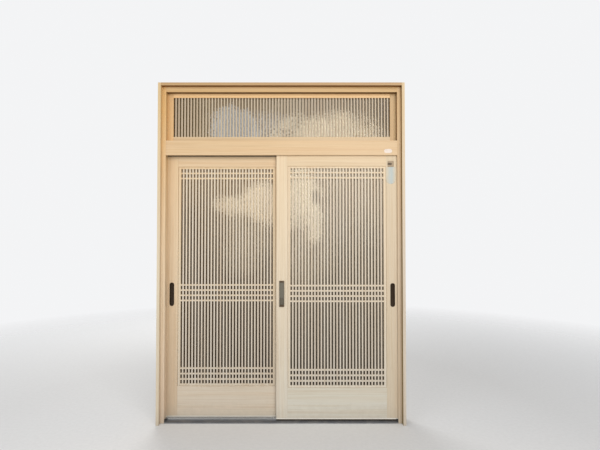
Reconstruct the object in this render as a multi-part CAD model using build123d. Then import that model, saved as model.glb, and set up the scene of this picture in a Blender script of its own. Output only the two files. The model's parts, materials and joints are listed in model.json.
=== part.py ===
from build123d import *

import os
from dataclasses import dataclass

# A sliding entrance door set for a house: a frame with a fixed transom window over two sliding doors.
# X runs to the right as seen from outside, Y runs into the house, Z runs up from the foot of the frame.
# The origin is the middle of the frame's footprint. All sizes are in millimetres.

# Frame
frame_width = 1690.0
frame_height = 2330.0
frame_depth = 145.0
wall = 2.0
flange_width = 20.0
flange_depth = 37.0
jamb_width = 45.0
head_height = 55.0
transom_bar_bottom = 1836.0
transom_bar_height = 102.0
jamb_pocket_depth = 18.0
channel_depth = 18.0
channel_play = 2.0
sill_height = 12.0
sill_nose_height = 8.0
sill_upstand_height = 20.0
sill_upstand_width = 6.0

# Sliding doors
door_thickness = 32.0
door_setback = 55.0
track_pitch = 40.0
door_bottom = 22.0
door_top_engagement = 12.0
door_tuck = 15.0
door_overlap = 70.0
lock_stile_width = 89.0
meeting_stile_width = 77.5
lip_height = 8.0
lip_leg = 9.0
kick_rail_top = 233.5
top_rail_bottom = 1763.5

# Glazing
glass_thickness = 5.0
glass_bite = 10.0
glass_channel_depth = 12.0
glass_channel_width = 11.0
glass_channel_setback = 16.5
gasket_clearance = 0.2

# Lattice of the doors
bar_width = 10.0
bar_depth = 9.0
lattice_depth = 14.0
lattice_setback = 2.0
door_bar_count = 29
border_side = 15.5
border_top = 12.0
border_bottom = 14.0
border_groove_width = 3.5
border_groove_depth = 4.0
cross_rail_height = 11.0
upper_rail_count = 2
upper_rail_pitch = 36.0
middle_rail_count = 4
middle_rail_pitch = 36.0
middle_rails_centre = 881.0
lower_rail_count = 3
lower_rail_pitch = 37.5

# Transom window
sash_setback = 80.0
sash_depth = 40.0
sash_stile_width = 41.0
sash_top_rail = 27.0
sash_bottom_rail = 34.0
transom_bar_count = 71

# Tracks and rollers
track_height = 15.0
track_radius = 3.0
track_cap_thickness = 1.0
track_cap_crown = 2.5
wheel_radius = 18.0
wheel_tread_radius = 15.0
wheel_width = 10.0
axle_radius = 3.0
running_clearance = 0.3
bearing_clearance = 0.05
roller_inset = 60.0
roller_bay_height = 36.0
housing_length = 70.0
housing_wheel_gap = 1.0

# Screws and their bosses
screw_radius = 1.8
screw_length = 24.0
screw_head_radius = 3.5
screw_head_height = 2.5
screw_clearance = 0.4
boss_size = 8.0
boss_bore_clearance = 0.1

# Holes for fixing the frame to the building
wall_fixing_radius = 2.75
wall_fixing_count = 4
wall_fixing_pitch = 600.0
wall_fixing_lowest = 250.0
head_fixing_count = 4
head_fixing_pitch = 400.0

# Seals, buffers and stops
seal_clearance = 0.4
seal_height = 6.0
pocket_seal_inset = 3.0
pocket_seal_width = 5.0
brush_width = 5.0
brush_inset = 10.0
brush_clearance = 0.5
sweep_inset = 3.0
sweep_thickness = 3.0
buffer_height = 40.0
buffer_levels = (300.0, 1500.0)
buffer_width = 16.0
stop_length = 30.0
stop_gap = 1.5
guide_length = 40.0
guide_height = 4.0
guide_inset = 25.0
end_cap_length = 12.0
end_cap_height = 14.0

# Recessed pulls
pull_width = 32.0
pull_height = 164.0
pull_centre_height = 871.0
pull_edge_distance = 47.5
pull_margin = 16.5
pull_rim = 3.0
pull_rim_thickness = 1.5
pull_depth = 12.0
pull_wall = 1.5
fit_clearance = 0.2

# Lock cover and key cylinder on the outer meeting stile
meeting_lock_x = 2.0
cover_housing_width = 33.0
cover_housing_height = 179.0
cover_housing_centre = 879.5
cover_end_length = 12.0
cover_housing_rise = 9.0
cover_base_thickness = 2.0
cover_side_wall = 2.0
cover_lip = 1.3
cover_thickness = 2.6
cover_travel = 46.0
cover_grip_height = 3.0
cover_grip_width = 16.0
cover_grip_rise = 0.8
key_cylinder_radius = 11.0
key_cylinder_drop = 25.0
key_cylinder_rise = 5.0
key_cylinder_reach = 20.0
key_plug_radius = 6.0
keyway_width = 1.6
keyway_height = 7.0
keyway_depth = 8.0
plug_cam_length = 16.0
plug_cam_thickness = 3.0

# Bolt and thumb-turn on the inner meeting stile
bolt_height_level = 880.0
bolt_width = 12.0
bolt_height = 20.0
bolt_throw = 13.0
bolt_guide_length = 6.5
bolt_end_wall = 2.5
lock_case_wall = 6.0
rose_width = 32.0
rose_height = 80.0
rose_thickness = 3.0
spindle_radius = 3.0
spindle_clearance = 0.3
turn_disc_radius = 13.0
turn_disc_thickness = 4.0
turn_grip_length = 26.0
turn_grip_width = 7.0
turn_grip_rise = 9.0

# Upper lock on the outer lock stile
upper_lock_drop = 70.0
upper_lock_edge_distance = 57.4
upper_plate_size = 41.0
upper_plate_thickness = 4.0
upper_boss_radius = 10.0
upper_boss_reach = 12.0
shutter_length = 29.0
shutter_width = 14.0
shutter_thickness = 2.0
shutter_pin_radius = 2.0
keyhole_radius = 4.0
keyhole_depth = 2.0
upper_rose_size = 34.0
upper_rose_thickness = 1.5
upper_turn_length = 24.0
upper_turn_width = 9.0
upper_turn_thickness = 3.2
hook_edge_distance = 22.0
hook_reach = 38.0
hook_hub_radius = 8.0
hook_arm_width = 13.0
hook_thickness = 4.0
hook_claw_width = 8.0
hook_claw_rise = 7.0
hook_slot_clearance = 1.0
case_plate_thickness = 4.0
case_plate_margin = 20.0
case_plate_drop = 40.0
strike_thickness = 1.5
strike_margin = 12.0

# Blank tag below the upper lock, and blank oval plate on the transom bar
tag_width = 68.0
tag_height = 117.0
tag_thickness = 1.2
tag_gap = 0.3
tag_top_radius = 8.0
tag_bottom_radius = 30.0
oval_width = 55.0
oval_height = 28.0
oval_thickness = 1.0
oval_edge_distance = 63.0
oval_rise = 29.0

# Places worked out from the sizes above
frame_front = -frame_depth / 2
frame_back = frame_depth / 2
jamb_face = frame_front + flange_depth
opening_edge = frame_width / 2 - jamb_width
head_bottom = frame_height - head_height
transom_bar_top = transom_bar_bottom + transom_bar_height
channel_top = transom_bar_bottom + channel_depth
door_top = transom_bar_bottom + door_top_engagement
door_width = opening_edge + door_tuck + door_overlap / 2
door_travel = door_width - door_overlap - pull_edge_distance - pull_width / 2 - pull_margin
upper_lock_height = door_top - upper_lock_drop
stile_bottom = door_bottom + lip_height
roller_bay_top = stile_bottom + roller_bay_height
track_top = sill_height + track_height
axle_height = track_top + running_clearance + wheel_tread_radius
sash_front = frame_front + sash_setback
sash_back = sash_front + sash_depth


@dataclass(frozen=True)
class Door:
    """A sliding door: side is 1 with the lock stile on the right, front is the Y of its outer face."""

    side: int
    front: float

    @property
    def back(self):
        return self.front + door_thickness

    @property
    def middle(self):
        return self.front + door_thickness / 2

    @property
    def channel(self):
        return (self.front - channel_play, self.back + channel_play)

    @property
    def glass_channel(self):
        start = self.front + glass_channel_setback
        return (start, start + glass_channel_width)

    @property
    def sight(self):
        """The limits in X between the two stiles."""
        return (self.x(meeting_stile_width), self.x(door_width - lock_stile_width))

    def x(self, along):
        """X of a point that lies this far along the door from its meeting edge."""
        return self.side * (along - door_overlap / 2)


outer_door = Door(1, frame_front + door_setback)
inner_door = Door(-1, outer_door.front + track_pitch)
front_boss_y = (jamb_face + outer_door.channel[0]) / 2
back_boss_y = (inner_door.channel[1] + frame_back) / 2
upper_lock_x = outer_door.x(door_width - upper_lock_edge_distance)
hook_x = outer_door.x(door_width - hook_edge_distance)
hook_y = outer_door.back - wall - case_plate_thickness - screw_head_height - hook_thickness


# Basic shapes
def block(x, y, z):
    """A box between two limits on each axis, in either order."""
    low = [min(pair) for pair in (x, y, z)]
    size = [abs(pair[1] - pair[0]) for pair in (x, y, z)]
    return Pos(*low) * Box(*size, align=(Align.MIN, Align.MIN, Align.MIN))


def around(centre, size):
    """The two limits of a length centred on a point."""
    return (centre - size / 2, centre + size / 2)


def rod_x(x, y, z, radius):
    """A round rod along X."""
    return Pos((x[0] + x[1]) / 2, y, z) * Rot(0, 90, 0) * Cylinder(radius, abs(x[1] - x[0]))


def rod_y(x, y, z, radius):
    """A round rod along Y."""
    return Pos(x, (y[0] + y[1]) / 2, z) * Rot(90, 0, 0) * Cylinder(radius, abs(y[1] - y[0]))


def oblong(x, y, z, width, height):
    """An upright plate with half-round ends, lying in the XZ plane."""
    radius = width / 2
    straight = height / 2 - radius
    shape = block(around(x, width), y, (z - straight, z + straight))
    return shape + rod_y(x, y, z + straight, radius) + rod_y(x, y, z - straight, radius)


def oblong_flat(x, y, z, width, height):
    """The same plate lying level."""
    radius = height / 2
    straight = width / 2 - radius
    shape = block((x - straight, x + straight), y, around(z, height))
    return shape + rod_y(x + straight, y, z, radius) + rod_y(x - straight, y, z, radius)


def grown(limits, by):
    """Limits moved outwards on both sides."""
    low, high = sorted(limits)
    return (low - by, high + by)


def group(*shapes):
    """Several shapes as one set of separate solids."""
    return Compound([solid for shape in shapes for solid in shape.solids()])


def save(name, shape):
    """Writes one piece, or one set of like pieces."""
    export_step(shape, f"parts/{name}.step")


def screw(seat, toward, y, z):
    """A pan-head screw along X: its head rests on the seat and its shank points toward."""
    head = rod_x((seat - toward * screw_head_height, seat), y, z, screw_head_radius)
    return head + rod_x((seat, seat + toward * screw_length), y, z, screw_radius)


def screw_bore(end, toward, y, z):
    """The hole for a screw's shank in the end of a section."""
    return rod_x((end, end + toward * screw_length), y, z, screw_radius + boss_bore_clearance)


# Frame
def frame_screw_places():
    """Y and Z of the screws that pass through each jamb into the sill, transom bar and head."""
    levels = (
        sill_height / 2,
        transom_bar_bottom + wall + boss_size / 2,
        head_bottom + wall + boss_size / 2,
    )
    return [(y, z) for y in (front_boss_y, back_boss_y) for z in levels]


def frame_bosses(level, low, high):
    """Solid strips along a member of the frame that take the screws at its two ends."""
    x = (-opening_edge, opening_edge)
    strips = [block(x, around(y, boss_size), (low, high)) for y in (front_boss_y, back_boss_y)]
    bores = [
        screw_bore(side * opening_edge, -side, y, level)
        for y in (front_boss_y, back_boss_y)
        for side in (-1, 1)
    ]
    return strips, bores


def wall_fixing_levels():
    """Heights of the fixing holes in each jamb."""
    return [wall_fixing_lowest + wall_fixing_pitch * i for i in range(wall_fixing_count)]


def hook_slot_limits():
    """The limits in Y and Z of the upright slot that the hook swings through."""
    y = (hook_y - hook_slot_clearance, hook_y + hook_thickness + hook_slot_clearance)
    high = upper_lock_height + hook_arm_width / 2 + hook_slot_clearance
    return y, (upper_lock_height - hook_reach, high)


def jamb(door):
    """The jamb beside a door's lock stile, with the pocket that the stile closes into."""
    side = door.side
    face = side * opening_edge
    outside = side * frame_width / 2
    floor = face + side * jamb_pocket_depth
    pocket_front, pocket_back = door.channel
    tall = (0, frame_height)
    inside = (face + side * wall, outside - side * wall)
    flange = (outside - side * flange_width, outside)
    shape = block((face, outside), (jamb_face, frame_back), tall)
    shape += block(flange, (frame_front, jamb_face), tall)
    shape -= block((face, floor), door.channel, tall)
    flange_inside = (outside - side * (flange_width - wall), outside - side * wall)
    shape -= block(flange_inside, (frame_front + wall, jamb_face), tall)
    shape -= block(inside, (jamb_face + wall, pocket_front - wall), tall)
    shape -= block((floor + side * wall, outside - side * wall), door.channel, tall)
    shape -= block(inside, (pocket_back + wall, frame_back - wall), tall)
    shape -= [rod_x((face, outside), back_boss_y, z, wall_fixing_radius) for z in wall_fixing_levels()]
    hole = screw_radius + screw_clearance
    shape -= [rod_x((face, face + side * wall), y, z, hole) for y, z in frame_screw_places()]
    return shape


def right_jamb():
    """The jamb beside the outer door, with the slot for the upper lock's hook."""
    floor = opening_edge + jamb_pocket_depth
    return jamb(outer_door) - block((floor, floor + wall), *hook_slot_limits())


def head():
    """The top of the frame, between the jambs."""
    x = (-opening_edge, opening_edge)
    flange_x = (flange_width - frame_width / 2, frame_width / 2 - flange_width)
    flange_low = frame_height - flange_width
    middle = (jamb_face + frame_back) / 2
    room = (head_bottom + wall, frame_height - wall)
    shape = block(x, (jamb_face, frame_back), (head_bottom, frame_height))
    shape += block(flange_x, (frame_front, jamb_face), (flange_low, frame_height))
    shape -= block(flange_x, (frame_front + wall, jamb_face), (flange_low + wall, frame_height - wall))
    shape -= block(x, (jamb_face + wall, middle - wall / 2), room)
    shape -= block(x, (middle + wall / 2, frame_back - wall), room)
    level = head_bottom + wall + boss_size / 2
    strips, bores = frame_bosses(level, head_bottom + wall, head_bottom + wall + boss_size)
    shape = shape + strips - bores
    half = (head_fixing_count - 1) / 2
    places = [head_fixing_pitch * (i - half) for i in range(head_fixing_count)]
    y = back_boss_y - boss_size - wall_fixing_radius
    for place in places:
        shape -= Pos(place, y, (head_bottom + frame_height) / 2) * Cylinder(wall_fixing_radius, head_height)
    return shape


def transom_bar():
    """The bar between the doors and the transom window, with a channel below for each door's top."""
    x = (-opening_edge, opening_edge)
    outer, inner = outer_door.channel, inner_door.channel
    between = (outer[1] + inner[0]) / 2
    full = (transom_bar_bottom + wall, transom_bar_top - wall)
    upper = (channel_top + wall, transom_bar_top - wall)
    shape = block(x, (jamb_face, frame_back), (transom_bar_bottom, transom_bar_top))
    for channel in (outer, inner):
        shape -= block(x, channel, (transom_bar_bottom, channel_top))
    shape -= block(x, (jamb_face + wall, outer[0] - wall), full)
    shape -= block(x, (outer[0], between - wall / 2), upper)
    shape -= block(x, (between + wall / 2, inner[1]), upper)
    shape -= block(x, (inner[1] + wall, frame_back - wall), full)
    low = transom_bar_bottom + wall
    strips, bores = frame_bosses(low + boss_size / 2, low, low + boss_size)
    return shape + strips - bores


def sill():
    """The sill: a hollow plank with a sloping nose, an upstand at the back and a rib for each track."""
    x = (-opening_edge, opening_edge)
    slope_end = outer_door.channel[0] - wall
    room = (wall, sill_height - wall)
    outline = Polyline(
        (jamb_face, 0),
        (jamb_face, sill_nose_height),
        (slope_end, sill_height),
        (frame_back - sill_upstand_width, sill_height),
        (frame_back - sill_upstand_width, sill_upstand_height),
        (frame_back, sill_upstand_height),
        (frame_back, 0),
        close=True,
    )
    shape = Pos(-opening_edge, 0, 0) * extrude(Plane.YZ * make_face(outline), 2 * opening_edge)
    rib = track_radius - track_cap_thickness
    middles = (outer_door.middle, inner_door.middle)
    for middle in middles:
        shape += block(x, (middle - rib, middle + rib), (sill_height, track_top - track_cap_crown))
    shape -= block(x, (slope_end, middles[0] - rib), room)
    shape -= block(x, (middles[0] + rib, middles[1] - rib), room)
    shape -= block(x, (middles[1] + rib, inner_door.channel[1] + wall), room)
    bores = [
        screw_bore(side * opening_edge, -side, y, sill_height / 2)
        for y in (front_boss_y, back_boss_y)
        for side in (-1, 1)
    ]
    return shape - bores


def track_cap(door):
    """The stainless cap on a track's rib, with a rounded crown that the rollers run on."""
    x = (-opening_edge, opening_edge)
    crown = track_top - track_radius
    rib = track_radius - track_cap_thickness
    shape = block(x, around(door.middle, 2 * track_radius), (sill_height, crown))
    shape += rod_x(x, door.middle, crown, track_radius)
    return shape - block(x, around(door.middle, 2 * rib), (sill_height, track_top - track_cap_crown))


def frame_screws():
    """The screws from both jambs, their heads on the inner walls of the jambs."""
    return [
        screw(side * (opening_edge + wall), -side, y, z)
        for side in (-1, 1)
        for y, z in frame_screw_places()
    ]


def frame_seals():
    """Pile strips in front of each door, along its channel and down its pocket."""
    strips = []
    for door in (outer_door, inner_door):
        y = (door.channel[0], door.front - seal_clearance)
        low = transom_bar_bottom + wall
        strips.append(block((-opening_edge, opening_edge), y, (low, low + seal_height)))
        start = door.side * (opening_edge + pocket_seal_inset)
        x = (start, start + door.side * pocket_seal_width)
        strips.append(block(x, y, (sill_height, transom_bar_bottom)))
    return strips


def rubber_buffers():
    """Buffers on the pocket floors, travel stops at the ends of the channels and caps on the sill."""
    blocks = []
    for door in (outer_door, inner_door):
        side = door.side
        floor = side * (opening_edge + jamb_pocket_depth)
        face = side * (opening_edge + door_tuck + seal_clearance)
        for level in buffer_levels:
            blocks.append(block((floor, face), around(door.middle, buffer_width), around(level, buffer_height)))
        stop = door.x(-door_travel - stop_gap)
        y = (door.front - seal_clearance, door.channel[1])
        blocks.append(block((stop, stop - side * stop_length), y, (transom_bar_bottom + wall, channel_top)))
        end = side * opening_edge
        y = (front_boss_y - boss_size / 2, outer_door.channel[0])
        cap = block((end, end - side * end_cap_length), y, (sill_height, sill_height + end_cap_height))
        slope = block((end, end - side * end_cap_length), (jamb_face, outer_door.channel[0]), (0, sill_height))
        blocks.append(fillet(cap.edges().filter_by(Axis.Y).group_by(Axis.Z)[-1], wall) - slope)
    return blocks


def strike_plate():
    """The plate on the right pocket's floor that the upper lock's hook catches behind."""
    floor = opening_edge + jamb_pocket_depth
    x = (floor - strike_thickness, floor)
    y, z = hook_slot_limits()
    return block(x, grown(y, strike_margin / 2), grown(z, strike_margin)) - block(x, y, z)


def oval_plate():
    """A blank oval plate on the face of the transom bar."""
    y = (jamb_face - oval_thickness, jamb_face)
    x = opening_edge - oval_edge_distance
    return oblong_flat(x, y, transom_bar_bottom + oval_rise, oval_width, oval_height)


# Transom window
def sash_channel():
    """The limits in Y of the groove that holds the transom pane."""
    start = sash_front + glass_channel_setback
    return (start, start + glass_channel_width)


def sash_sight():
    """The limits in X and Z of the transom's clear opening."""
    edge = opening_edge - sash_stile_width
    return (-edge, edge), (transom_bar_top + sash_bottom_rail, head_bottom - sash_top_rail)


def sash_stile(side):
    """An upright of the transom sash."""
    edge = side * (opening_edge - sash_stile_width)
    face = side * opening_edge
    floor = edge + side * glass_channel_depth
    tall = (transom_bar_top, head_bottom)
    channel = sash_channel()
    shape = block((edge, face), (sash_front, sash_back), tall)
    shape -= block((edge, floor), channel, tall)
    shape -= block((floor + side * wall, face - side * wall), (sash_front + wall, sash_back - wall), tall)
    return shape - block((edge + side * wall, floor), (sash_front + wall, channel[0] - wall), tall)


def sash_rail(edge, face):
    """A rail of the transom sash: edge is its height at the pane, face its height at the frame."""
    way = 1 if face > edge else -1
    floor = edge + way * glass_channel_depth
    x = sash_sight()[0]
    channel = sash_channel()
    shape = block(x, (sash_front, sash_back), (edge, face))
    shape -= block(x, channel, (edge, floor))
    shape -= block(x, (sash_front + wall, sash_back - wall), (floor + way * wall, face - way * wall))
    return shape - block(x, (sash_front + wall, channel[0] - wall), (edge + way * wall, floor))


def transom_sash():
    """The four members around the transom pane."""
    low, high = sash_sight()[1]
    rails = [sash_rail(low, transom_bar_top), sash_rail(high, head_bottom)]
    return [sash_stile(-1), sash_stile(1)] + rails


def pane(x, channel, z):
    """A sheet of glass that reaches into the grooves around a clear opening."""
    y = around((channel[0] + channel[1]) / 2, glass_thickness)
    return block(grown(x, glass_bite), y, grown(z, glass_bite))


def gasket(x, channel, z):
    """The rubber ring around a pane's edge, which fills the groove."""
    reach = glass_channel_depth - gasket_clearance
    ring = block(grown(x, reach), channel, grown(z, reach)) - block(x, channel, z)
    return ring - pane(x, channel, z)


def upright_bars(x, y, z, count):
    """Equal upright bars with equal gaps between them and at both ends."""
    low, high = sorted(x)
    pitch = (high - low + bar_width) / (count + 1)
    starts = [low + pitch * (i + 1) - bar_width for i in range(count)]
    return [block((start, start + bar_width), y, z) for start in starts]


def transom_lattice():
    """The upright bars in front of the transom pane."""
    x, z = sash_sight()
    front = sash_front + lattice_setback
    return upright_bars(x, (front, front + bar_depth), z, transom_bar_count)


# Sliding doors
def stile(door, edge, inner):
    """A door's upright between its outer edge and its inner edge, both measured along the door."""
    way = 1 if edge > inner else -1
    tall = (stile_bottom, door_top)
    channel = door.glass_channel
    floor = inner + way * glass_channel_depth
    across = (door.front + wall, door.back - wall)
    shape = block((door.x(inner), door.x(edge)), (door.front, door.back), tall)
    shape -= block((door.x(inner), door.x(floor)), channel, tall)
    shape -= block((door.x(floor + way * wall), door.x(edge - way * wall)), across, tall)
    nose = (door.x(inner + way * wall), door.x(floor))
    shape -= block(nose, (door.front + wall, channel[0] - wall), tall)
    web = (door.x(floor), door.x(floor + way * wall))
    y = (channel[0] + channel[1]) / 2
    return shape - [rod_x(web, y, z, screw_radius + screw_clearance) for z in door_screw_levels()]


def kick_web():
    """Height of the middle of the kick rail's inner web."""
    return (roller_bay_top + kick_rail_top) / 2


def door_screw_levels():
    """Heights of the screws that join each stile to the kick rail and the top rail."""
    half = boss_size / 2
    return (
        roller_bay_top + wall + half,
        kick_web() + wall / 2 + half,
        top_rail_bottom + glass_channel_depth + wall + half,
        door_top - wall - half,
    )


def rail_bosses(door, levels):
    """The strips and bores in a door's rail that take the screws from its stiles."""
    y = sum(door.glass_channel) / 2
    x = door.sight
    strips = [block(x, around(y, boss_size), around(z, boss_size)) for z in levels]
    bores = []
    for z in levels:
        bores.append(screw_bore(x[0], door.side, y, z))
        bores.append(screw_bore(x[1], -door.side, y, z))
    return strips, bores


def kick_rail(door):
    """The tall bottom rail, open below for the rollers and grooved on top for the pane."""
    x = door.sight
    across = (door.front + wall, door.back - wall)
    channel = door.glass_channel
    floor = kick_rail_top - glass_channel_depth
    shape = block(x, (door.front, door.back), (stile_bottom, kick_rail_top))
    shape -= block(x, across, (stile_bottom, roller_bay_top))
    shape -= block(x, across, (roller_bay_top + wall, kick_web() - wall / 2))
    shape -= block(x, across, (kick_web() + wall / 2, floor - wall))
    shape -= block(x, channel, (floor, kick_rail_top))
    shape -= block(x, (door.front + wall, channel[0] - wall), (floor, kick_rail_top - wall))
    strips, bores = rail_bosses(door, door_screw_levels()[:2])
    return shape + strips - bores


def top_rail(door):
    """The rail that runs in the channel of the transom bar."""
    x = door.sight
    channel = door.glass_channel
    floor = top_rail_bottom + glass_channel_depth
    across = (door.front + wall, door.back - wall)
    shape = block(x, (door.front, door.back), (top_rail_bottom, door_top))
    shape -= block(x, channel, (top_rail_bottom, floor))
    shape -= block(x, across, (floor + wall, door_top - wall))
    shape -= block(x, (door.front + wall, channel[0] - wall), (top_rail_bottom + wall, floor))
    strips, bores = rail_bosses(door, door_screw_levels()[2:])
    return shape + strips - bores


def roller_places(door):
    """X of the two rollers."""
    from_meeting_edge = meeting_stile_width + roller_inset
    from_lock_edge = door_width - lock_stile_width - roller_inset
    return [door.x(from_meeting_edge), door.x(from_lock_edge)]


def wheel_slot_width():
    """Clear width around a roller in its housing."""
    return wheel_width + 2 * housing_wheel_gap


def bottom_lip(door):
    """The pale strip under a door: two legs beside the track, with a window for each roller."""
    x = (door.x(0), door.x(door_width))
    shape = block(x, (door.front, door.back), (door_bottom, stile_bottom))
    slot = (door.front + lip_leg, door.back - lip_leg)
    shape -= block(x, slot, (door_bottom, stile_bottom - wall))
    for place in roller_places(door):
        window = around(place, 2 * wheel_radius)
        shape -= block(window, around(door.middle, wheel_slot_width()), (door_bottom, stile_bottom))
    return shape


def roller_housings(door):
    """The two roller housings in the kick rail, each with its axle pin."""
    pieces = []
    y = (door.front + wall + running_clearance, door.back - wall - running_clearance)
    z = (stile_bottom, roller_bay_top - running_clearance)
    slot_top = axle_height + wheel_radius + housing_wheel_gap
    for place in roller_places(door):
        body = block(around(place, housing_length), y, z)
        slot_y = around(door.middle, wheel_slot_width())
        slot_x = around(place, 2 * (wheel_radius + housing_wheel_gap))
        body -= block(slot_x, slot_y, (stile_bottom, slot_top))
        body -= rod_y(place, y, axle_height, axle_radius)
        pieces += [body, rod_y(place, y, axle_height, axle_radius)]
    return pieces


def wheel(door, place):
    """A roller with a round groove that sits over the track."""
    centre_line = wheel_tread_radius + running_clearance + track_radius
    groove = track_radius + running_clearance
    shape = Cylinder(wheel_radius, wheel_width) - Torus(centre_line, groove)
    shape -= Cylinder(axle_radius + bearing_clearance, wheel_width)
    return Pos(place, door.middle, axle_height) * Rot(90, 0, 0) * shape


def lattice_field(door):
    """The limits in X and Z inside the lattice's border."""
    edge = border_groove_width + border_side
    x = (door.x(meeting_stile_width + edge), door.x(door_width - lock_stile_width - edge))
    low = kick_rail_top + border_groove_width + border_bottom
    return x, (low, top_rail_bottom - border_groove_width - border_top)


def lattice_bars(door):
    """The upright bars of a door's lattice."""
    x, z = lattice_field(door)
    front = door.front + lattice_setback
    return upright_bars(x, (front, front + bar_depth), z, door_bar_count)


def lattice_border(door):
    """The four strips around a door's lattice, with a groove along their outer edge."""
    x, z = lattice_field(door)
    y = (door.front + lattice_setback, door.front + lattice_setback + lattice_depth)
    outer_z = (kick_rail_top, top_rail_bottom)
    inset_x = grown(door.sight, -border_groove_width)
    inset_z = grown(outer_z, -border_groove_width)
    groove_y = (y[0], y[0] + border_groove_depth)
    groove = block(door.sight, groove_y, outer_z) - block(inset_x, groove_y, inset_z)
    strips = [block((door.sight[i], x[i]), y, outer_z) for i in (0, 1)]
    strips += [block(x, y, (outer_z[i], z[i])) for i in (0, 1)]
    return [strip - groove for strip in strips]


def cross_rail_levels():
    """Heights of the middles of the lattice's cross rails."""
    top = top_rail_bottom - border_groove_width - border_top / 2
    foot = kick_rail_top + border_groove_width + border_bottom / 2
    half = (middle_rail_count - 1) / 2
    upper = [top - upper_rail_pitch * (i + 1) for i in range(upper_rail_count)]
    middle = [middle_rails_centre + middle_rail_pitch * (i - half) for i in range(middle_rail_count)]
    lower = [foot + lower_rail_pitch * (i + 1) for i in range(lower_rail_count)]
    return upper + middle + lower


def cross_rails(door, bars):
    """The level rails of a lattice, notched so that the bars lie flush in their fronts."""
    x = lattice_field(door)[0]
    y = (door.front + lattice_setback, door.front + lattice_setback + lattice_depth)
    return [block(x, y, around(level, cross_rail_height)) - bars for level in cross_rail_levels()]


def door_screws(door):
    """The screws between the stiles and the rails, their heads inside the stiles."""
    y = sum(door.glass_channel) / 2
    reach = glass_channel_depth + wall
    seats = (
        (door.x(meeting_stile_width - reach), door.side),
        (door.x(door_width - lock_stile_width + reach), -door.side),
    )
    length = reach + screw_length - screw_clearance
    screws = []
    for seat, toward in seats:
        for z in door_screw_levels():
            head_x = (seat - toward * screw_head_height, seat)
            shank = rod_x((seat, seat + toward * length), y, z, screw_radius)
            screws.append(rod_x(head_x, y, z, screw_head_radius) + shank)
    return screws


def top_guides(door):
    """The two blocks on top of a door that keep it upright in its channel."""
    y = (door.channel[0] + seal_clearance, door.channel[1] - seal_clearance)
    z = (door_top, door_top + guide_height)
    starts = (guide_inset, door_width - door_tuck - guide_inset - guide_length)
    return [block((door.x(start), door.x(start + guide_length)), y, z) for start in starts]


def door_seals(door, face, way):
    """The brush between the meeting stiles, on this face, and the sweep under the door."""
    gap = track_pitch - door_thickness
    brush_x = (door.x(brush_inset), door.x(brush_inset + brush_width))
    brush_y = (face, face + way * (gap - brush_clearance))
    brush = block(brush_x, brush_y, (stile_bottom, transom_bar_bottom - wall))
    sweep_y = (door.front + sweep_inset, door.front + sweep_inset + sweep_thickness)
    sweep = block((door.x(0), door.x(door_width)), sweep_y, (sill_height + seal_clearance, door_bottom))
    return [brush, sweep]


# Recessed pulls
def pull_x(door):
    """X of the middle of a door's pulls."""
    return door.x(door_width - pull_edge_distance)


def pull(door, face, way):
    """A recessed pull with a thin rim on the stile's face: way points into the stile."""
    x = pull_x(door)
    bowl = (pull_width - 2 * pull_rim, pull_height - 2 * pull_rim)
    hollow = [size - 2 * pull_wall for size in bowl]
    rim = face - way * pull_rim_thickness
    floor = face + way * pull_depth
    shape = oblong(x, (rim, face), pull_centre_height, pull_width, pull_height)
    shape += oblong(x, (face, floor), pull_centre_height, *bowl)
    return shape - oblong(x, (rim, floor - way * pull_wall), pull_centre_height, *hollow)


def pull_cuts(door):
    """The openings in both faces of a lock stile that take the pulls."""
    width = pull_width - 2 * pull_rim + 2 * fit_clearance
    height = pull_height - 2 * pull_rim + 2 * fit_clearance
    faces = ((door.front, door.front + wall), (door.back - wall, door.back))
    return [oblong(pull_x(door), y, pull_centre_height, width, height) for y in faces]


def lock_stile(door):
    """The stile that closes into the jamb's pocket, cut for its pulls."""
    return stile(door, door_width, door_width - lock_stile_width) - pull_cuts(door)


# Lock cover and key cylinder on the outer meeting stile
def key_height():
    """Height of the middle of the key cylinder."""
    return cover_housing_centre + cover_housing_height / 2 - cover_end_length - key_cylinder_drop


def cover_space():
    """The limits in Z between the two end caps of the lock cover housing."""
    return around(cover_housing_centre, cover_housing_height - 2 * cover_end_length)


def cover_layers():
    """The limits in Y of the sliding cover."""
    outside = outer_door.front - cover_housing_rise + cover_lip / 2 + running_clearance
    return (outside, outside + cover_thickness)


def lock_cover_housing():
    """The channel on the stile's face that the cover slides in."""
    face = outer_door.front
    z = cover_space()
    half = cover_housing_width / 2
    inner = half - cover_side_wall
    outside = face - cover_housing_rise
    base = face - cover_base_thickness
    cover = cover_layers()
    shape = block(around(meeting_lock_x, cover_housing_width), (base, face), z)
    for side in (-1, 1):
        edge = meeting_lock_x + side * half
        rail = meeting_lock_x + side * inner
        ledge = rail - side * cover_lip
        shape += block((edge, rail), (outside, base), z)
        shape += block((rail, ledge), (outside, cover[0] - running_clearance), z)
        shape += block((rail, ledge), (cover[1] + running_clearance, base), z)
    hole = key_cylinder_radius + fit_clearance
    return shape - rod_y(meeting_lock_x, (base, face), key_height(), hole)


def lock_cover_ends():
    """The two rounded caps that close the lock cover housing."""
    y = (outer_door.front - cover_housing_rise, outer_door.front)
    x = around(meeting_lock_x, cover_housing_width)
    low, high = cover_space()
    top = block(x, y, (high, high + cover_end_length))
    foot = block(x, y, (low - cover_end_length, low))
    radius = cover_end_length / 4
    top = fillet(top.edges().filter_by(Axis.Y).group_by(Axis.Z)[-1], radius)
    return [top, fillet(foot.edges().filter_by(Axis.Y).group_by(Axis.Z)[0], radius)]


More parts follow.
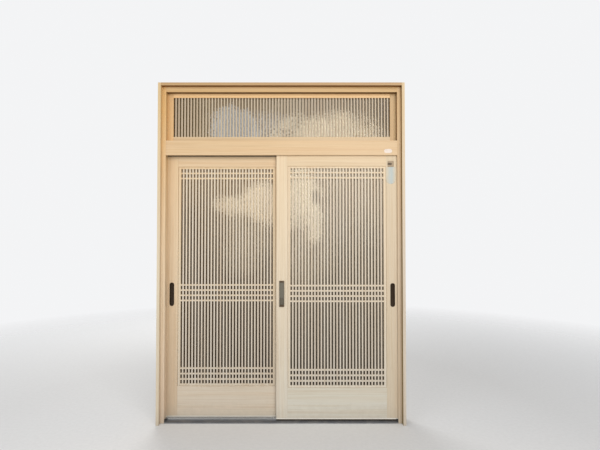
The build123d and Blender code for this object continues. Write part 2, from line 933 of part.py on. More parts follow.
def lock_cover():
    """The cover that slides down to bare the keyhole, with a rib for the thumb."""
    y = cover_layers()
    low, high = grown(cover_space(), -running_clearance)
    low += cover_travel
    width = cover_housing_width - 2 * (cover_side_wall + running_clearance)
    shape = block(around(meeting_lock_x, width), y, (low, high))
    grip_z = (low + cover_grip_height, low + 2 * cover_grip_height)
    grip_y = (y[0] - cover_grip_rise, y[0])
    return shape + block(around(meeting_lock_x, cover_grip_width), grip_y, grip_z)


def key_cylinder():
    """The barrel of the meeting-stile lock."""
    z = key_height()
    y = (outer_door.front - key_cylinder_rise, outer_door.front + key_cylinder_reach)
    bore = rod_y(meeting_lock_x, y, z, key_plug_radius + bearing_clearance)
    return rod_y(meeting_lock_x, y, z, key_cylinder_radius) - bore


def key_plug():
    """The plug that the key turns, with a keyway in front and a cam behind."""
    z = key_height()
    front = outer_door.front - key_cylinder_rise
    back = outer_door.front + key_cylinder_reach + running_clearance
    shape = rod_y(meeting_lock_x, (front, back), z, key_plug_radius)
    cam_y = (back, back + plug_cam_thickness)
    cam_z = (z - key_plug_radius, z - key_plug_radius + plug_cam_length)
    shape += block(around(meeting_lock_x, 2 * key_plug_radius), cam_y, cam_z)
    keyway = block(around(meeting_lock_x, keyway_width), (front, front + keyway_depth), around(z, keyway_height))
    return shape - keyway


def outer_meeting_stile():
    """The outer door's meeting stile, cut for the key cylinder and for the inner door's bolt."""
    shape = stile(outer_door, 0, meeting_stile_width)
    hole = key_cylinder_radius + fit_clearance
    shape -= rod_y(meeting_lock_x, (outer_door.front, outer_door.front + wall), key_height(), hole)
    slot_x = around(meeting_lock_x, bolt_width + 2 * screw_clearance)
    slot_z = around(bolt_height_level, bolt_height + 2 * screw_clearance)
    return shape - block(slot_x, (outer_door.back - wall, outer_door.back), slot_z)


# Bolt and thumb-turn on the inner meeting stile
def inner_meeting_stile():
    """The inner door's meeting stile, cut in front for the bolt and behind for its case."""
    shape = stile(inner_door, 0, meeting_stile_width)
    slot_x = around(meeting_lock_x, bolt_width + 2 * running_clearance)
    slot_z = around(bolt_height_level, bolt_height + 2 * running_clearance)
    shape -= block(slot_x, (inner_door.front, inner_door.front + wall), slot_z)
    case_x = around(meeting_lock_x, bolt_width + 2 * (lock_case_wall + fit_clearance))
    case_z = around(bolt_height_level, bolt_height + 2 * (lock_case_wall + fit_clearance))
    return shape - block(case_x, (inner_door.back - wall, inner_door.back), case_z)


def meeting_lock_case():
    """The sleeve that guides the bolt, in one piece with the rose on the stile's back."""
    back = inner_door.back
    start = inner_door.front + wall
    x = around(meeting_lock_x, bolt_width + 2 * lock_case_wall)
    z = around(bolt_height_level, bolt_height + 2 * lock_case_wall)
    shape = block(x, (start, back), z)
    rose_y = (back, back + rose_thickness)
    shape += oblong(meeting_lock_x, rose_y, bolt_height_level, rose_width, rose_height)
    bolt_x = around(meeting_lock_x, bolt_width + 2 * running_clearance)
    bolt_z = around(bolt_height_level, bolt_height + 2 * running_clearance)
    shape -= block(bolt_x, (start, back - wall), bolt_z)
    hole = spindle_radius + spindle_clearance
    return shape - rod_y(meeting_lock_x, (start, back + rose_thickness), bolt_height_level, hole)


def bolt_front():
    """Y of the bolt's tip when it is drawn back."""
    return inner_door.front + brush_clearance


def meeting_bolt():
    """The bolt that crosses the gap into the outer door, bored for the turn's spindle."""
    y = (bolt_front(), bolt_front() + bolt_throw + bolt_guide_length)
    shape = block(around(meeting_lock_x, bolt_width), y, around(bolt_height_level, bolt_height))
    bore = (y[0] + bolt_end_wall, y[1])
    return shape - rod_y(meeting_lock_x, bore, bolt_height_level, spindle_radius + spindle_clearance)


def meeting_turn():
    """The thumb-turn on the room side, with the spindle that drives the bolt."""
    face = inner_door.back + rose_thickness + running_clearance
    disc = face + turn_disc_thickness
    tip = bolt_front() + bolt_end_wall + wall / 2
    shape = rod_y(meeting_lock_x, (tip, face), bolt_height_level, spindle_radius)
    shape += rod_y(meeting_lock_x, (face, disc), bolt_height_level, turn_disc_radius)
    grip = (disc, disc + turn_grip_rise)
    return shape + oblong(meeting_lock_x, grip, bolt_height_level, turn_grip_width, turn_grip_length)


# Upper lock on the outer lock stile
def outer_lock_stile():
    """The outer door's lock stile, cut for its pulls and for the upper lock."""
    door = outer_door
    shape = lock_stile(door)
    boss = upper_boss_radius + fit_clearance
    neck = spindle_radius + spindle_clearance + wall + fit_clearance
    shape -= rod_y(upper_lock_x, (door.front, door.front + wall), upper_lock_height, boss)
    shape -= rod_y(upper_lock_x, (door.back - wall, door.back), upper_lock_height, neck)
    return shape - block((door.x(door_width - wall), door.x(door_width)), *hook_slot_limits())


def upper_lock_front():
    """The front plate with its boss, keyhole and the pin that the shutter swings on."""
    face = outer_door.front
    front = face - upper_plate_thickness
    size = around(upper_lock_x, upper_plate_size)
    plate = block(size, (front, face), around(upper_lock_height, upper_plate_size))
    plate = fillet(plate.edges().filter_by(Axis.Y), wall)
    plate += rod_y(upper_lock_x, (face, face + upper_boss_reach), upper_lock_height, upper_boss_radius)
    pin_tip = front - running_clearance - shutter_thickness
    plate += rod_y(upper_lock_x, (pin_tip, front), upper_lock_height, shutter_pin_radius)
    keyhole_x = upper_lock_x - (shutter_length - shutter_width)
    return plate - rod_y(keyhole_x, (front, front + keyhole_depth), upper_lock_height, keyhole_radius)


def upper_lock_back():
    """The plate inside the stile with the hook's pin, joined by a neck to the rose outside."""
    back = outer_door.back
    plate_y = (back - wall - case_plate_thickness, back - wall)
    rose_y = (back, back + upper_rose_thickness)
    x = (upper_lock_x - case_plate_margin / 2, hook_x + hook_hub_radius)
    z = (upper_lock_height - case_plate_drop, upper_lock_height + case_plate_margin)
    neck = spindle_radius + spindle_clearance + wall
    shape = block(x, plate_y, z)
    shape += rod_y(upper_lock_x, (plate_y[0], rose_y[1]), upper_lock_height, neck)
    rose_size = around(upper_lock_x, upper_rose_size)
    rose = block(rose_size, rose_y, around(upper_lock_height, upper_rose_size))
    shape += fillet(rose.edges().filter_by(Axis.Y), wall)
    shape += rod_y(hook_x, (hook_y - wall, plate_y[0]), upper_lock_height, axle_radius)
    hole = spindle_radius + spindle_clearance
    return shape - rod_y(upper_lock_x, (plate_y[0], rose_y[1]), upper_lock_height, hole)


def keyhole_shutter():
    """The dark shutter over the keyhole, which swings on the plate's pin."""
    front = outer_door.front - upper_plate_thickness - running_clearance
    y = (front - shutter_thickness, front)
    centre = upper_lock_x - (shutter_length - shutter_width) / 2
    shape = oblong_flat(centre, y, upper_lock_height, shutter_length, shutter_width)
    return shape - rod_y(upper_lock_x, y, upper_lock_height, shutter_pin_radius + bearing_clearance)


def upper_turn():
    """The low inside turn and its spindle: it passes behind the inner door without touching."""
    face = outer_door.back + upper_rose_thickness + running_clearance
    tip = outer_door.front + upper_boss_reach + running_clearance
    grip = (face, face + upper_turn_thickness)
    shape = rod_y(upper_lock_x, (tip, face), upper_lock_height, spindle_radius)
    return shape + oblong(upper_lock_x, grip, upper_lock_height, upper_turn_width, upper_turn_length)


def upper_hook():
    """The hook, hanging down inside the stile: a quarter turn swings it out behind the strike plate."""
    y = (hook_y, hook_y + hook_thickness)
    tip = upper_lock_height - hook_reach
    arm = block(around(hook_x, hook_arm_width), y, (tip, upper_lock_height))
    claw_x = (hook_x + hook_arm_width / 2, hook_x + hook_arm_width / 2 + hook_claw_rise)
    claw = block(claw_x, y, (tip, tip + hook_claw_width))
    swing = rod_y(hook_x, y, upper_lock_height, hook_reach)
    shape = (arm + claw) & swing
    shape += rod_y(hook_x, y, upper_lock_height, hook_hub_radius)
    return shape - rod_y(hook_x, y, upper_lock_height, axle_radius + bearing_clearance)


def lock_tag():
    """A blank tag that hangs in front of the stile, under the upper lock's plate."""
    y = (outer_door.front - tag_gap - tag_thickness, outer_door.front - tag_gap)
    high = upper_lock_height - upper_plate_size / 2 - tag_gap
    shape = block(around(upper_lock_x, tag_width), y, (high - tag_height, high))
    corners = shape.edges().filter_by(Axis.Y).group_by(Axis.Z)
    shape = fillet(corners[-1], tag_top_radius)
    return fillet(shape.edges().filter_by(Axis.Y).group_by(Axis.Z)[0], tag_bottom_radius)


# Writing the pieces
def save_frame():
    """Everything that stays fixed to the building."""
    save("left_jamb", jamb(inner_door))
    save("right_jamb", right_jamb())
    save("head", head())
    save("sill", sill())
    save("track_caps", group(track_cap(outer_door), track_cap(inner_door)))
    save("transom_bar", transom_bar())
    save("transom_sash", group(*transom_sash()))
    x, z = sash_sight()
    save("transom_glass", pane(x, sash_channel(), z))
    save("transom_gasket", gasket(x, sash_channel(), z))
    save("transom_lattice", group(*transom_lattice()))
    save("frame_screws", group(*frame_screws()))
    save("frame_seals", group(*frame_seals()))
    save("rubber_buffers", group(*rubber_buffers()))
    save("strike_plate", strike_plate())
    save("oval_plate", oval_plate())


def save_door(name, door, brush_face, brush_way):
    """The pieces that both doors have."""
    z = (kick_rail_top, top_rail_bottom)
    bars = lattice_bars(door)
    save(f"{name}_top_rail", top_rail(door))
    save(f"{name}_kick_rail", kick_rail(door))
    save(f"{name}_bottom_lip", bottom_lip(door))
    save(f"{name}_glass", pane(door.sight, door.glass_channel, z))
    save(f"{name}_gasket", gasket(door.sight, door.glass_channel, z))
    save(f"{name}_lattice_frame", group(*lattice_border(door), *cross_rails(door, bars)))
    save(f"{name}_lattice_bars", group(*bars))
    save(f"{name}_roller_housings", group(*roller_housings(door)))
    for number, place in enumerate(roller_places(door), 1):
        save(f"{name}_wheel_{number}", wheel(door, place))
    save(f"{name}_pulls", group(pull(door, door.front, 1), pull(door, door.back, -1)))
    save(f"{name}_top_guides", group(*top_guides(door)))
    save(f"{name}_seals", group(*door_seals(door, brush_face, brush_way)))
    save(f"{name}_screws", group(*door_screws(door)))


def save_locks():
    """The stiles that are cut for locks, and the locks."""
    save("outer_lock_stile", outer_lock_stile())
    save("outer_meeting_stile", outer_meeting_stile())
    save("inner_lock_stile", lock_stile(inner_door))
    save("inner_meeting_stile", inner_meeting_stile())
    save("lock_cover_housing", lock_cover_housing())
    save("lock_cover_ends", group(*lock_cover_ends()))
    save("lock_cover", lock_cover())
    save("key_cylinder", key_cylinder())
    save("key_plug", key_plug())
    save("meeting_lock_case", meeting_lock_case())
    save("meeting_bolt", meeting_bolt())
    save("meeting_turn", meeting_turn())
    save("upper_lock_case", group(upper_lock_front(), upper_lock_back()))
    save("keyhole_shutter", keyhole_shutter())
    save("upper_turn", upper_turn())
    save("upper_hook", upper_hook())
    save("lock_tag", lock_tag())


os.makedirs("parts", exist_ok=True)
save_frame()
save_door("outer", outer_door, outer_door.back, 1)
save_door("inner", inner_door, inner_door.front, -1)
save_locks()
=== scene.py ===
"""The looks of a sliding entrance door set with a transom window above it.

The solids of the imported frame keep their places. Their film, glass, metal, rubber and pile are
finished here, the edges of the sections are eased, and the pieces that a hand or an eye meets are
worked out again as finer surfaces. Lengths are in metres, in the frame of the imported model.
"""

from __future__ import annotations

import json
import logging
import math
from dataclasses import dataclass, field
from enum import Enum
from typing import Any, Sequence

import bmesh
import bpy
import numpy as np
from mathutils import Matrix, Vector

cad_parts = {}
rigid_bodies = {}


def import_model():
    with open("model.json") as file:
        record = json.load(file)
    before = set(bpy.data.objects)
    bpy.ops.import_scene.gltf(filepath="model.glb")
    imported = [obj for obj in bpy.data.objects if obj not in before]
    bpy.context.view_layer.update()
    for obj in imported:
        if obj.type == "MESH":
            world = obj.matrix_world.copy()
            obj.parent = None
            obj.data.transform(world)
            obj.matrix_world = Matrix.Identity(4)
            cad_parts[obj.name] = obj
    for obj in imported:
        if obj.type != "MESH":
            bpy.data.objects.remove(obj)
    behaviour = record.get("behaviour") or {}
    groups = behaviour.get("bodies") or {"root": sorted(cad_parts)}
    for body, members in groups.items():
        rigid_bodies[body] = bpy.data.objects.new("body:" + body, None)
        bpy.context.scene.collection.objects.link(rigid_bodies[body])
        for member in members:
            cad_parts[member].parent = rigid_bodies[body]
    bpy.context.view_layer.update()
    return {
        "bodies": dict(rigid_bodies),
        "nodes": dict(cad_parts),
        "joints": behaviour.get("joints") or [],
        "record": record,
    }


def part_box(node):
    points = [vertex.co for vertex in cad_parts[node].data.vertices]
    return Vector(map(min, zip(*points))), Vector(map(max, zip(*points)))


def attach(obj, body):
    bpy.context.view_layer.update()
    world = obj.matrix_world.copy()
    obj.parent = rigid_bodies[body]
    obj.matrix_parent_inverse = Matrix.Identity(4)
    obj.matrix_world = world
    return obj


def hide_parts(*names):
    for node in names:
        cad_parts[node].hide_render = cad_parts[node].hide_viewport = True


LOG = logging.getLogger("door_set")
MM = 0.001
Colour = tuple[float, float, float, float]
Pair = tuple[float, float]
Triple = tuple[float, float, float]
Box = tuple[np.ndarray, np.ndarray]


def paint(red: int, green: int, blue: int) -> Colour:
    """A colour as it is seen on a screen, 0 to 255, turned into the linear light that shaders use.

    Args:
        red, green, blue: the seen colour.

    Returns:
        The linear colour: each share is raised to the power 2.4 above a short straight foot.
    """
    shares = np.array([red, green, blue]) / 255
    linear = np.where(shares <= 0.04045, shares / 12.92, ((shares + 0.055) / 1.055) ** 2.4)
    return (*linear.tolist(), 1.0)


def grey(level: float) -> Colour:
    """A tint that darkens or lightens all three colours alike."""
    return (level, level, level, 1.0)


def placed(name: str, data: bpy.types.ID) -> bpy.types.Object:
    """Links a new object to the scene.

    Args:
        name: of the object.
        data: its mesh, light or camera.

    Returns:
        The object.
    """
    made = bpy.data.objects.new(name, data)
    bpy.context.scene.collection.objects.link(made)
    return made


class Wire:
    """One output of a node, usable in sums: each sum adds a Math node to the material."""

    def __init__(self, graph: Graph, socket: bpy.types.NodeSocket) -> None:
        """Keeps the graph under construction and the output."""
        self.graph = graph
        self.socket = socket

    def _sum(self, operation: str, first: Any, second: Any = 0.0, clamp: bool = False) -> Wire:
        """Adds a Math node on two numbers or outputs."""
        settings = {"operation": operation, "use_clamp": clamp}
        return self.graph.node("Math", settings, {0: first, 1: second})

    def __add__(self, other: Any) -> Wire:
        """This plus other."""
        return self._sum("ADD", self, other)

    __radd__ = __add__

    def __sub__(self, other: Any) -> Wire:
        """This less other."""
        return self._sum("SUBTRACT", self, other)

    def __rsub__(self, other: Any) -> Wire:
        """Other less this."""
        return self._sum("SUBTRACT", other, self)

    def __mul__(self, other: Any) -> Wire:
        """This times other."""
        return self._sum("MULTIPLY", self, other)

    __rmul__ = __mul__

    def __truediv__(self, other: Any) -> Wire:
        """This divided by other."""
        return self._sum("DIVIDE", self, other)

    def limited(self) -> Wire:
        """This held between 0 and 1."""
        return self._sum("ADD", self, 0.0, clamp=True)

    def highest(self, other: Any) -> Wire:
        """The larger of this and other."""
        return self._sum("MAXIMUM", self, other)

    def size(self) -> Wire:
        """This without its sign: the larger of it and its negative."""
        return self.highest(self * -1.0)


class Graph:
    """A tree of nodes under construction."""

    def __init__(self, tree: bpy.types.NodeTree) -> None:
        """Starts with an empty tree."""
        self.tree = tree
        self.tree.nodes.clear()

    def node(self, kind: str, settings: dict | None = None, sockets: dict | None = None,
             output: str | None = None) -> Wire:
        """Adds a node of any kind.

        Args:
            kind: the node's type, without its ShaderNode prefix.
            settings: its properties, set first.
            sockets: values or outputs for its inputs, by name or by number among those in use.
            output: the name of the output that is wanted.

        Returns:
            That output, or else the node's first output in use, which is none for an end node.
        """
        made = self.tree.nodes.new("ShaderNode" + kind)
        for key, value in (settings or {}).items():
            setattr(made, key, value)
        used = [socket for socket in made.inputs if socket.enabled]
        for key, value in (sockets or {}).items():
            socket = used[key] if isinstance(key, int) else next(s for s in used if s.name == key)
            if isinstance(value, Wire):
                self.tree.links.new(value.socket, socket)
            else:
                socket.default_value = value
        ends = (end for end in made.outputs if end.enabled and output in (None, end.name))
        return Wire(self, next(ends, None))


class Shader(Graph):
    """A material under construction, and the point on the object that its patterns start from."""

    def __init__(self, name: str) -> None:
        """Starts an empty material."""
        self.material = bpy.data.materials.new(name)
        self.material.use_nodes = True
        super().__init__(self.material.node_tree)
        self.place = self.node("TexCoord", output="Object")

    def surface(self, **values: Any) -> Wire:
        """A Principled shader, whose input names are written with underscores."""
        sockets = {key.replace("_", " "): value for key, value in values.items()}
        return self.node("BsdfPrincipled", {}, sockets)

    def ends_in(self, surface: Wire) -> bpy.types.Material:
        """Ends the material in a shader and hands it over."""
        self.node("OutputMaterial", {}, {"Surface": surface})
        return self.material

    def surface_is(self, **values: Any) -> bpy.types.Material:
        """Ends the material in one Principled shader."""
        return self.ends_in(self.surface(**values))

    def axis(self, name: str) -> Wire:
        """One coordinate of the point on the object: X, Y or Z."""
        return self.node("SeparateXYZ", {}, {0: self.place}, name)

    def edge(self, value: Wire, at: float, softness: float = 0.2 * MM) -> Wire:
        """Rises from 0 to 1 as a value passes a mark; a negative softness turns it round."""
        return ((value - at) / softness + 0.5).limited()

    def stretched(self, scale: Triple, shift: Triple = (0.0, 0.0, 0.0)) -> Wire:
        """The point with its coordinates scaled and shifted, which draws a pattern out."""
        return self.node("Mapping", {}, {"Vector": self.place, "Location": shift, "Scale": scale})

    def noise(self, scale: float, detail: float = 2.0, rough: float = 0.5,
              at: Wire | None = None) -> Wire:
        """Smooth random values about 0.5, with this many waves to the unit."""
        sockets = {"Vector": at or self.place, "Scale": scale, "Detail": detail, "Roughness": rough}
        return self.node("TexNoise", {}, sockets)

    def ramp(self, value: Wire, *stops: tuple[float, Colour]) -> Wire:
        """Picks a colour by a value.

        Args:
            value: from 0 to 1.
            stops: the colours at some values; between them they fade into each other.

        Returns:
            The colour.
        """
        made = self.node("ValToRGB", {}, {0: value})
        ramp = made.socket.node.color_ramp.elements
        while len(ramp) < len(stops):
            ramp.new(1.0)
        for element, (at, colour) in zip(ramp, stops):
            element.position, element.color = at, colour
        return made

    def greys(self, value: Wire, *stops: tuple[float, float]) -> Wire:
        """A grey picked from stops by a value."""
        return self.ramp(value, *((at, grey(level)) for at, level in stops))

    def blend(self, first: Any, second: Any, share: Any, way: str = "MIX") -> Wire:
        """Two colours mixed by a share."""
        settings = {"data_type": "RGBA", "blend_type": way}
        return self.node("Mix", settings, {"Factor": share, "A": first, "B": second})

    def tinted(self, colour: Any, tint: Wire, share: float = 1.0) -> Wire:
        """A colour multiplied by a tint, as far as the share says."""
        return self.blend(colour, tint, share, "MULTIPLY")

    def relief(self, height: Wire, depth: float, strength: float) -> Wire:
        """A bumped normal: the height, 0 to 1, times a depth in metres."""
        return self.node("Bump", {}, {"Strength": strength, "Distance": depth, "Height": height})


class Grain(Enum):
    """The way that wood grain or a metal's fine lines run, as their scale on each axis."""

    UPRIGHT = (1.0, 1.0, 0.015)
    LEVEL = (0.013, 1.0, 1.0)
    DRAWN_UP = (1.0, 1.0, 0.02)
    DRAWN_ALONG = (0.02, 1.0, 1.0)
    DRAWN_INWARD = (1.0, 0.05, 1.0)
    NONE = (1.0, 1.0, 1.0)


@dataclass(frozen=True)
class Fade:
    """How a colour runs up the door set: its tint at the foot, half way up and at the top."""

    foot: Colour
    middle: Colour
    top: Colour
    half_way: float = 1.15
    full: float = 2.33

    def colour(self, shader: Shader) -> Wire:
        """The tint at a height, from a ramp over the whole height."""
        stops = ((0.02, self.foot), (self.half_way / self.full, self.middle), (0.92, self.top))
        return shader.ramp(shader.axis("Z") / self.full, *stops)


def faded(*seen: tuple[int, int, int]) -> Fade:
    """A fade through three seen colours, or through one colour all the way up."""
    return Fade(*(paint(*colour) for colour in (seen * 3)[:3]))


@dataclass(frozen=True)
class Shade:
    """Painted shade on a member: a strip between two depths, nearer to the opening than a mark.

    The mark is on X, counted from the middle of the set, or on Z. Deep shade, such as a channel's
    inside or the head's underside, is painted a dark colour of its own; a corner's shade only
    tints the film.
    """

    axis: str
    limit: float
    tint: Colour
    front: float
    back: float = 71.9 * MM
    way: str = "MIX"
    softness: float = 0.2 * MM

    def over(self, shader: Shader, colour: Wire) -> Wire:
        """Lays the strip over a colour. Its share is 1 inside all three marks.

        Args:
            shader: the material under construction.
            colour: what the strip lies on.

        Returns:
            The colour with the strip.
        """
        depth = shader.axis("Y")
        behind = shader.edge(depth, self.front, self.softness)
        before = shader.edge(depth, self.back, -self.softness)
        near = shader.edge(shader.axis(self.axis).size(), self.limit, -self.softness)
        return shader.blend(colour, self.tint, behind * before * near, self.way)


@dataclass(frozen=True)
class Finish:
    """A finish with a name, under which its material is made once."""

    name: str

    def material(self) -> bpy.types.Material:
        """The material of this name, made when it is first asked for."""
        return bpy.data.materials.get(self.name) or self.dressed(Shader(self.name))

    def dressed(self, shader: Shader) -> bpy.types.Material:
        """Works the material out, each kind of finish in its own way.

        Args:
            shader: the material under construction.

        Returns:
            The finished material.
        """
        raise NotImplementedError


@dataclass(frozen=True)
class Film(Finish):
    """A printed wood-grain film on aluminium: straight pale grain, slightly embossed, satin.

    Its fade up the height is painted light: paler at the foot and warmer towards the top. What
    stands forward of bleached_front has a fade of its own, painted light and shade on the
    flange fronts. The faces towards the room, behind room_side, have one even colour.
    """

    grain: Grain
    fade: Fade
    seed: float
    shades: tuple[Shade, ...] = ()
    bleached: Fade | None = None
    bleached_front: float = -64 * MM
    kept: Colour = paint(226, 204, 170)
    room_side: float = 44 * MM
    dust_height: float = 0.16
    dust: Colour = paint(176, 166, 150)
    band_waves: float = 24.0
    streak_waves: float = 150.0
    fibre_waves: float = 700.0

    def dressed(self, shader: Shader) -> bpy.types.Material:
        """The printed grain with its painted light and shade, and dust near the floor.

        The grain is the colour multiplied by broad bands, fine streaks and short fibres.
        """
        shift = (self.seed, self.seed * 0.7, self.seed * 1.3)
        drawn = shader.stretched(self.grain.value, shift)
        streaks = shader.noise(self.streak_waves, 3.0, 0.6, drawn)
        fibres = shader.noise(self.fibre_waves, 2.0, 0.6, drawn)
        depth, height = shader.axis("Y"), shader.axis("Z")
        colour = self.fade.colour(shader)
        # Painted light and shade: the flange fronts take a fade of their own.
        if self.bleached:
            forward = shader.edge(depth, self.bleached_front, -1 * MM)
            colour = shader.blend(colour, self.bleached.colour(shader), forward)
        colour = shader.blend(colour, self.kept, shader.edge(depth, self.room_side, 10 * MM))
        bands = (
            (0.34, (0.93, 0.875, 0.82, 1)),
            (0.47, grey(1)),
            (0.55, (1.0, 0.985, 0.955, 1)),
            (0.68, (0.985, 0.945, 0.91, 1)),
        )
        broad = shader.ramp(shader.noise(self.band_waves, at=drawn), *bands)
        fine = shader.ramp(streaks, (0.36, (0.90, 0.86, 0.80, 1)), (0.52, grey(1)))
        short = shader.ramp(fibres, (0.33, (0.95, 0.93, 0.90, 1)), (0.5, grey(1)))
        colour = shader.tinted(shader.tinted(shader.tinted(colour, broad), fine, 0.8), short, 0.8)
        smear = shader.noise(30.0, 4.0, 0.65)
        dust = ((self.dust_height - height) / self.dust_height * 1.2 + smear * 1.4 - 1.0).limited()
        colour = shader.blend(colour, self.dust, dust * 0.45)
        # Painted shade: darker strips in corners, under the head and in the channel.
        for shade in self.shades:
            colour = shade.over(shader, colour)
        return shader.surface_is(
            Base_Color=colour,
            Roughness=0.38 + streaks * 0.14 + dust * 0.2,
            Normal=shader.relief(fibres * 0.6 + streaks * 0.4, 0.12 * MM, 0.5),
        )


@dataclass(frozen=True)
class Haze:
    """A painted reflection that a pane holds, pale or dark, as an ellipse with a ragged edge."""

    x: float
    z: float
    half_width: float
    half_height: float
    strength: float
    softness: float
    colour: Colour = paint(246, 230, 200)


@dataclass(frozen=True)
class FiguredGlass(Finish):
    """Obscure figured glass: brown-grey, which paints in the dim room behind it, and pebbled.

    Soft clouds of painted reflection lie in its outer face. What is behind the middle depth is the
    face to the room, painted paler as daylight through the glass.
    """

    fade: Fade
    hazes: tuple[Haze, ...]
    middle: float
    room: Colour = paint(172, 166, 150)
    pebble_waves: float = 95.0
    pebble_depth: float = 0.5 * MM

    def dressed(self, shader: Shader) -> bpy.types.Material:
        """Tinted half-clear glass, whose pebbles break up what it mirrors and lets through.

        A cloud's share is 1 inside its ellipse and falls to 0 outside it, over an edge that the
        wobble moves in and out.
        """
        cells = {"Vector": shader.place, "Scale": self.pebble_waves, "Smoothness": 0.7}
        pebbles = shader.node("TexVoronoi", {"feature": "SMOOTH_F1"}, cells)
        swirl = shader.noise(8.0, 3.0, 0.6)
        ragged = shader.noise(75.0, 3.0, 0.7)
        wobble = (swirl - 0.5) * 1.6 + (ragged - 0.5) * 2.2
        # Painted reflection: a broad drift and the pebbles lighten and darken the glass.
        shade = shader.noise(3.5, at=shader.stretched((1.0, 1.0, 0.35)))
        tone = shader.greys(shade + (pebbles - 0.45) * 0.35, (0.3, 0.8), (0.7, 1.15))
        # Painted glints in the clouds, from the pebbles.
        glint = 0.82 + pebbles * 0.4
        colour = self.fade.colour(shader)
        across, up = shader.axis("X"), shader.axis("Z")
        for haze in self.hazes:
            u = (across - haze.x) / haze.half_width
            v = (up - haze.z) / haze.half_height
            share = ((1.15 - u * u - v * v + wobble) / haze.softness).limited() * haze.strength
            colour = shader.blend(colour, haze.colour, share * glint)
        # The face to the room is painted paler, as daylight through the glass.
        colour = shader.blend(colour, self.room, shader.edge(shader.axis("Y"), self.middle))
        return shader.surface_is(
            Base_Color=shader.tinted(colour, tone),
            Roughness=0.16 + ragged * 0.12,
            Normal=shader.relief(pebbles, self.pebble_depth, 0.7),
            Transmission_Weight=0.25,
            Specular_IOR_Level=0.25,
            IOR=1.5,
        )


@dataclass(frozen=True)
class Metal(Finish):
    """Bare or anodised metal with a drawn grain along one axis and some dust in it."""

    colour: Colour
    rough: float
    grain: Grain
    metallic: float = 1.0
    dust: float = 0.0
    soil: Colour = paint(150, 144, 134)
    line_waves: float = 900.0

    def dressed(self, shader: Shader) -> bpy.types.Material:
        """Fine drawn lines in the roughness and relief, and dust that dulls both."""
        lines = shader.noise(self.line_waves, 2.0, 0.6, shader.stretched(self.grain.value))
        soil = ((shader.noise(14.0, 4.0, 0.65) - 0.42) * 3.0).limited() * self.dust
        colour = shader.tinted(self.colour, shader.greys(lines, (0.3, 0.88), (0.6, 1.0)))
        return shader.surface_is(
            Base_Color=shader.blend(colour, self.soil, soil),
            Roughness=self.rough + lines * 0.12 + soil * 0.3,
            Metallic=self.metallic - soil * (0.8 * self.metallic),
            Normal=shader.relief(lines, 0.04 * MM, 0.35),
        )


@dataclass(frozen=True)
class Coating(Finish):
    """A satin coating or moulded plastic: an even colour with a fine orange-peel skin."""

    colour: Colour
    rough: float = 0.4
    metallic: float = 0.0
    coat: float = 0.0
    shine: float = 0.5
    skin: float = 420.0
    depth: float = 0.06 * MM

    def dressed(self, shader: Shader) -> bpy.types.Material:
        """The colour drifts a little over the piece and the skin is finely dimpled."""
        drift = shader.noise(18.0, 3.0, 0.6)
        return shader.surface_is(
            Base_Color=shader.tinted(self.colour, shader.greys(drift, (0.3, 0.88), (0.65, 1.0))),
            Roughness=self.rough + (drift - 0.5) * 0.2,
            Normal=shader.relief(shader.noise(self.skin), self.depth, 0.5),
            Metallic=self.metallic,
            Specular_IOR_Level=self.shine,
            Coat_Weight=self.coat,
        )


@dataclass(frozen=True)
class Pile(Finish):
    """The short pile of a brush seal: brown tufts, dull, with a fine nap."""

    colour: Colour

    def dressed(self, shader: Shader) -> bpy.types.Material:
        """Tufts as fine cells of light and dark."""
        tufts = shader.node("TexVoronoi", {}, {"Vector": shader.place, "Scale": 800.0})
        nap = shader.noise(300.0, 3.0, 0.7)
        return shader.surface_is(
            Base_Color=shader.tinted(self.colour, shader.greys(tufts, (0.0, 1.0), (0.7, 0.5))),
            Roughness=0.92 - nap * 0.1,
            Normal=shader.relief(nap, 0.5 * MM, 0.8),
            Sheen_Weight=0.4,
        )


@dataclass(frozen=True)
class MilkyPlastic(Finish):
    """A blank tag of milky plastic: cream at its edges, a faint blue right of its middle."""

    edge: Colour
    heart: Colour
    left: float
    right: float

    def dressed(self, shader: Shader) -> bpy.types.Material:
        """The tint runs across the tag from cream to blue and back, clouded a little."""
        # Partly painted reflection: the run from cream to blue stands for a sheen across the glossy
        # tag.
        cloud = shader.noise(35.0, 3.0, 0.6)
        across = (shader.axis("X") - self.left) / (self.right - self.left)
        stops = ((0.08, self.edge), (0.5, self.heart), (0.62, self.heart), (0.98, self.edge))
        return shader.surface_is(
            Base_Color=shader.ramp(across + (cloud - 0.5) * 0.3, *stops),
            Roughness=0.3 + cloud * 0.15,
            Normal=shader.relief(cloud, 0.3 * MM, 0.5),
            Coat_Weight=0.2,
        )


def arc(centre: Pair, radius: float, start: float, end: float, steps: int = 5) -> np.ndarray:
    """Points on an arc in a section: the centre plus the radius times each cosine and sine.

    Args:
        centre, radius: of the arc.
        start, end: its first and last angle, in degrees.
        steps: the number of points.

    Returns:
        The points, from the start to the end.
    """
    angle = np.radians(np.linspace(start, end, steps))
    return np.array(centre) + radius * np.column_stack([np.cos(angle), np.sin(angle)])


def thirds(low: np.ndarray, high: np.ndarray, left: float, right: float) -> list[Box]:
    """Cuts a box at two places along X.

    Args:
        low, high: the box.
        left, right: the places.

    Returns:
        The left part, the right part and the middle.
    """
    return [
        (low, np.array([left, *high[1:]])),
        (np.array([right, *low[1:]]), high),
        (np.array([left, *low[1:]]), np.array([right, *high[1:]])),
    ]


